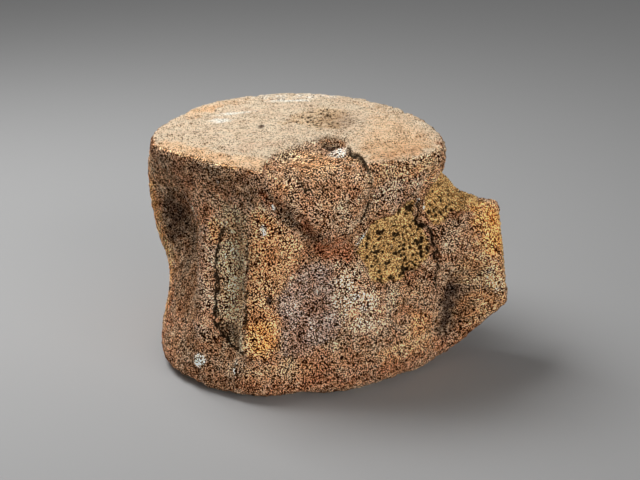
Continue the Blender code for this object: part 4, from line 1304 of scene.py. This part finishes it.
class BoneMaterial:
    """Builds the one material of the skin."""

    # Each zone, its colour's name in the finish and how much fainter it is on the end plates
    ZONES = (
        (Zone.APRICOT, "apricot", 0.0),
        (Zone.TAN, "tan", 0.45),
        (Zone.RUST, "rust", 0.45),
        (Zone.MAUVE, "mauve", 0.45),
        (Zone.ASH, "ash", 0.0),
        (Zone.OLIVE, "olive", 0.45),
        (Zone.UMBER, "umber", 0.45),
        (Zone.OCHRE, "ochre", 0.45),
        (Zone.GOLD, "gold", 0.45),
    )

    def __init__(self, finish: BoneFinish) -> None:
        """Keeps the finish and starts the node tree.

        Args:
            finish: Colours and sizes of the finish.
        """
        self.finish = finish
        self.book = ShaderBook(finish.name)
        self.place = self.book.add("ShaderNodeTexCoord", output="Object")

    def build(self) -> bpy.types.Material:
        """Makes the material.

        Returns:
            The finished material.
        """
        book, finish = self.book, self.finish
        grain = self.grain()
        plate = book.painted(Zone.END_PLATE)
        spongy = book.painted(Zone.SPONGY)
        even = (spongy * 0.40 * (1.0 - plate)).held()
        colour = self.speckle(self.tint(grain, plate, spongy), grain, plate, even)
        # Painted shade: pores, cracks and pinholes darkened nearly to black
        hole_shade = self.hole_shade(grain, plate)
        colour = book.mix(hole_shade * 0.95, colour, finish.pore)
        height = grain.gap * -0.8 + grain.random * 0.7 * (1.0 - even) + grain.clump * 0.8
        bump = book.add(
            "ShaderNodeBump", {}, {"Strength": 0.8, "Distance": finish.bump, "Height": height}
        )
        shader = book.add(
            "ShaderNodeBsdfPrincipled",
            {},
            {
                "Base Color": colour,
                "Roughness": (grain.random * 0.2 + (finish.roughness - 0.1)).held(),
                "Specular IOR Level": 0.04,
                "Normal": bump,
            },
        )
        book.add("ShaderNodeOutputMaterial", {}, {"Surface": shader})
        return book.material

    def grain(self) -> Grain:
        """Makes the patterns, from the finest to the slowest.

        Returns:
            The patterns.
        """
        book, finish = self.book, self.finish
        cells = self.cells(self.place, finish.grain_scale, "Distance")
        specks = self.cells(self.place, finish.speck_scale, "Color")
        return Grain(
            random=book.add("ShaderNodeSeparateColor", {}, {"Color": specks}, "Red"),
            gap=cells,
            clump=book.noise(self.place, finish.clump_scale, 3.0, 0.6),
            blotch=book.noise(self.place, finish.blotch_scale, 4.0, 0.60),
            patch=book.noise(self.place, finish.patch_scale, 3.0, 0.55),
        )

    def cells(self, place: Signal, scale: float, output: str) -> Signal:
        """Round cells that fill the piece: the distance to their middles, or a colour each."""
        inputs = {"Vector": place, "Scale": scale}
        return self.book.add("ShaderNodeTexVoronoi", {"feature": "F1"}, inputs, output)

    def tint(self, grain: Grain, plate: Signal, spongy: Signal) -> Signal:
        """Mean colour at each place, from the zones, with mottled edges.

        Args:
            grain: The patterns.
            plate: Mask of the end plates.
            spongy: Mask of the spongy bone.

        Returns:
            The colour.
        """
        book, finish = self.book, self.finish
        mottle = (grain.clump - 0.5) * 2.0
        rusty = ((grain.patch - 0.42) * 3.0 + mottle * 0.4).held()
        cortex = book.mix(rusty * 0.8, finish.cortex, finish.rust)
        pale = ((grain.patch - 0.62) * 4.0).held()
        cortex = book.mix(pale * 0.5, cortex, finish.ash)
        tint = book.mix(plate, cortex, finish.end_plate)
        for zone, colour, calm in self.ZONES:
            share = self.frayed(book.painted(zone), 1.8, 0.40, mottle * 0.9)
            tint = book.mix(share * (1.0 - plate * calm), tint, getattr(finish, colour))
        blotched = book.mix(1.0, tint, book.ramp(grain.blotch, finish.blotches), "MULTIPLY")
        tint = book.mix(1.0 - plate * 0.75, tint, blotched)
        golden = self.frayed(spongy, 1.7, 0.35, mottle * 0.7) * (0.85 - plate * 0.6)
        tint = book.mix(golden, tint, finish.spongy)
        # Painted shade in hollows, creases and under overhangs, with some dark stain
        shade_and_stain_share = self.frayed(book.painted(Zone.SHADE_AND_STAIN), 1.5, 0.25, mottle * 0.5)
        tint = book.mix(shade_and_stain_share, tint, finish.soot)
        chalky = self.frayed(book.painted(Zone.CHALK), 1.8, 0.4, mottle * 1.2)
        return book.mix(chalky, tint, finish.chalk)

    @staticmethod
    def frayed(mask: Signal, gain: float, loss: float, mottle: Signal) -> Signal:
        """A mask made steeper, with its edge broken up by the grain's clumps."""
        return (mask * gain - loss + mottle).held()

    def speckle(self, tint: Signal, grain: Grain, plate: Signal, even: Signal) -> Signal:
        """The tint broken up into dark gaps and grains of many shades.

        Args:
            tint: Mean colour.
            grain: The patterns.
            plate: Mask of the end plates.
            even: How much fainter the grain is, from 0 to 1.

        Returns:
            The speckled colour.
        """
        book = self.book
        depth = grain.gap + (grain.random - 0.5) * 0.26 + (grain.clump - 0.5) * 0.34
        depth = depth.held()
        rough, fine = (
            book.ramp(depth, stops) for stops in (self.finish.wall_grain, self.finish.plate_grain)
        )
        speckles = book.mix(even, book.mix(plate, rough, fine), self.finish.even_grain)
        return book.mix(1.0, tint, speckles, "MULTIPLY")

    def hole_shade(self, grain: Grain, plate: Signal) -> Signal:
        """Where pores, cracks and pinholes are painted black, as painted shade in them.

        Args:
            grain: The patterns.
            plate: Mask of the end plates.

        Returns:
            How black each place is, from 0 to 1.
        """
        book = self.book
        pore = ((1.02 - book.painted(Line.PORE) + (grain.clump - 0.5) * 0.5) * 4.0).held()
        line = abs(book.painted(Line.CRACK)) * -1300.0
        crack = (line + 1.60 + (grain.clump - 0.5) * 1.6).held() * book.painted(Line.CRACK_NEAR)
        stretched = book.add(
            "ShaderNodeVectorMath",
            {"operation": "MULTIPLY"},
            {0: self.place, 1: self.finish.pinhole_stretch},
        )
        dots = self.cells(stretched, self.finish.pinhole_scale, "Distance")
        pitted = book.painted(Zone.SPONGY) * 0.26 + 0.15
        pinhole_shade = ((pitted + (grain.clump - 0.5) * 0.55 - dots) * 12.0).held() * plate
        return (pore + crack + pinhole_shade * 0.92).held()


@dataclass
class Studio:
    """Pale floor, soft lights and the camera of the photo."""

    azimuth: float = 0.0
    elevation: float = 20.5
    distance: float = 1.13
    aim: Triple = (0.018, 0.0, 0.090)
    lens: float = 74.76
    sensor: float = 36.0
    floor_size: float = 12.0
    floor_colour: Colour = (0.42, 0.42, 0.42)
    top_place: Triple = (-0.52, 0.26, 1.12)
    top_size: float = 0.66
    top_power: float = 13.5
    fill_from: Triple = (1.00, -1.35, 0.34)
    fill_spread: float = 0.9
    fill_strength: float = 1.65
    world_strength: float = 0.27

    def build(self) -> None:
        """Makes the floor, the lights and the camera."""
        self.make_floor()
        self.make_top_light()
        self.make_fill()
        self.make_world()
        self.make_camera()

    def make_floor(self) -> None:
        """Level floor under the bone."""
        bpy.ops.object.select_all(action="DESELECT")
        bpy.ops.mesh.primitive_plane_add(size=self.floor_size)
        floor = bpy.context.object
        floor.name = "floor"
        book = ShaderBook("floor_grey")
        inputs = {"Base Color": (*self.floor_colour, 1.0), "Roughness": 0.9}
        shader = book.add("ShaderNodeBsdfPrincipled", {}, inputs)
        book.add("ShaderNodeOutputMaterial", {}, {"Surface": shader})
        floor.data.materials.append(book.material)

    def make_top_light(self) -> None:
        """Soft square light above the bone, behind it and to its left."""
        light = bpy.data.lights.new("top_light", "AREA")
        light.shape, light.size, light.energy = "SQUARE", self.top_size, self.top_power
        made = self.turned(light, Vector(self.aim) - Vector(self.top_place))
        made.location = self.top_place

    def make_fill(self) -> None:
        """Broad, even light from the front right that reaches the whole floor."""
        light = bpy.data.lights.new("front_fill", "SUN")
        light.angle, light.energy = self.fill_spread, self.fill_strength
        self.turned(light, -Vector(self.fill_from))

    @staticmethod
    def turned(data: bpy.types.ID, facing: Vector) -> bpy.types.Object:
        """Puts a light or a camera in the scene, turned to look along a direction.

        Args:
            data: The light or the camera.
            facing: The direction.

        Returns:
            The new object, at the origin.
        """
        made = bpy.data.objects.new(data.name, data)
        bpy.context.scene.collection.objects.link(made)
        made.rotation_euler = facing.to_track_quat("-Z", "Y").to_euler()
        return made

    def make_world(self) -> None:
        """Even grey light from all round."""
        world = bpy.data.worlds.new("studio_grey")
        world.use_nodes = True
        background = world.node_tree.nodes["Background"]
        background.inputs["Color"].default_value = (0.5, 0.5, 0.5, 1.0)
        background.inputs["Strength"].default_value = self.world_strength
        bpy.context.scene.world = world

    def make_camera(self) -> None:
        """Camera at the photo's angle and distance."""
        turn, lift = math.radians(self.azimuth), math.radians(self.elevation)
        level = math.cos(lift)
        back = Vector((math.sin(turn) * level, -math.cos(turn) * level, math.sin(lift)))
        data = bpy.data.cameras.new("camera")
        data.lens, data.sensor_width = self.lens, self.sensor
        camera = self.turned(data, -back)
        camera.location = Vector(self.aim) + back * self.distance
        bpy.context.scene.camera = camera


def main() -> None:
    """Builds the skin, its finish and the studio."""
    logging.basicConfig(level=logging.INFO, format="%(message)s")
    bpy.context.scene.view_settings.view_transform = "Standard"
    skin = BoneSkin().build()
    skin.data.materials.append(BoneMaterial(BoneFinish()).build())
    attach(skin, BODY)
    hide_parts(NODE)
    LOG.info("bone skin: %d faces", len(skin.data.polygons))
    Studio().build()


if __name__ == "__main__":
    main()
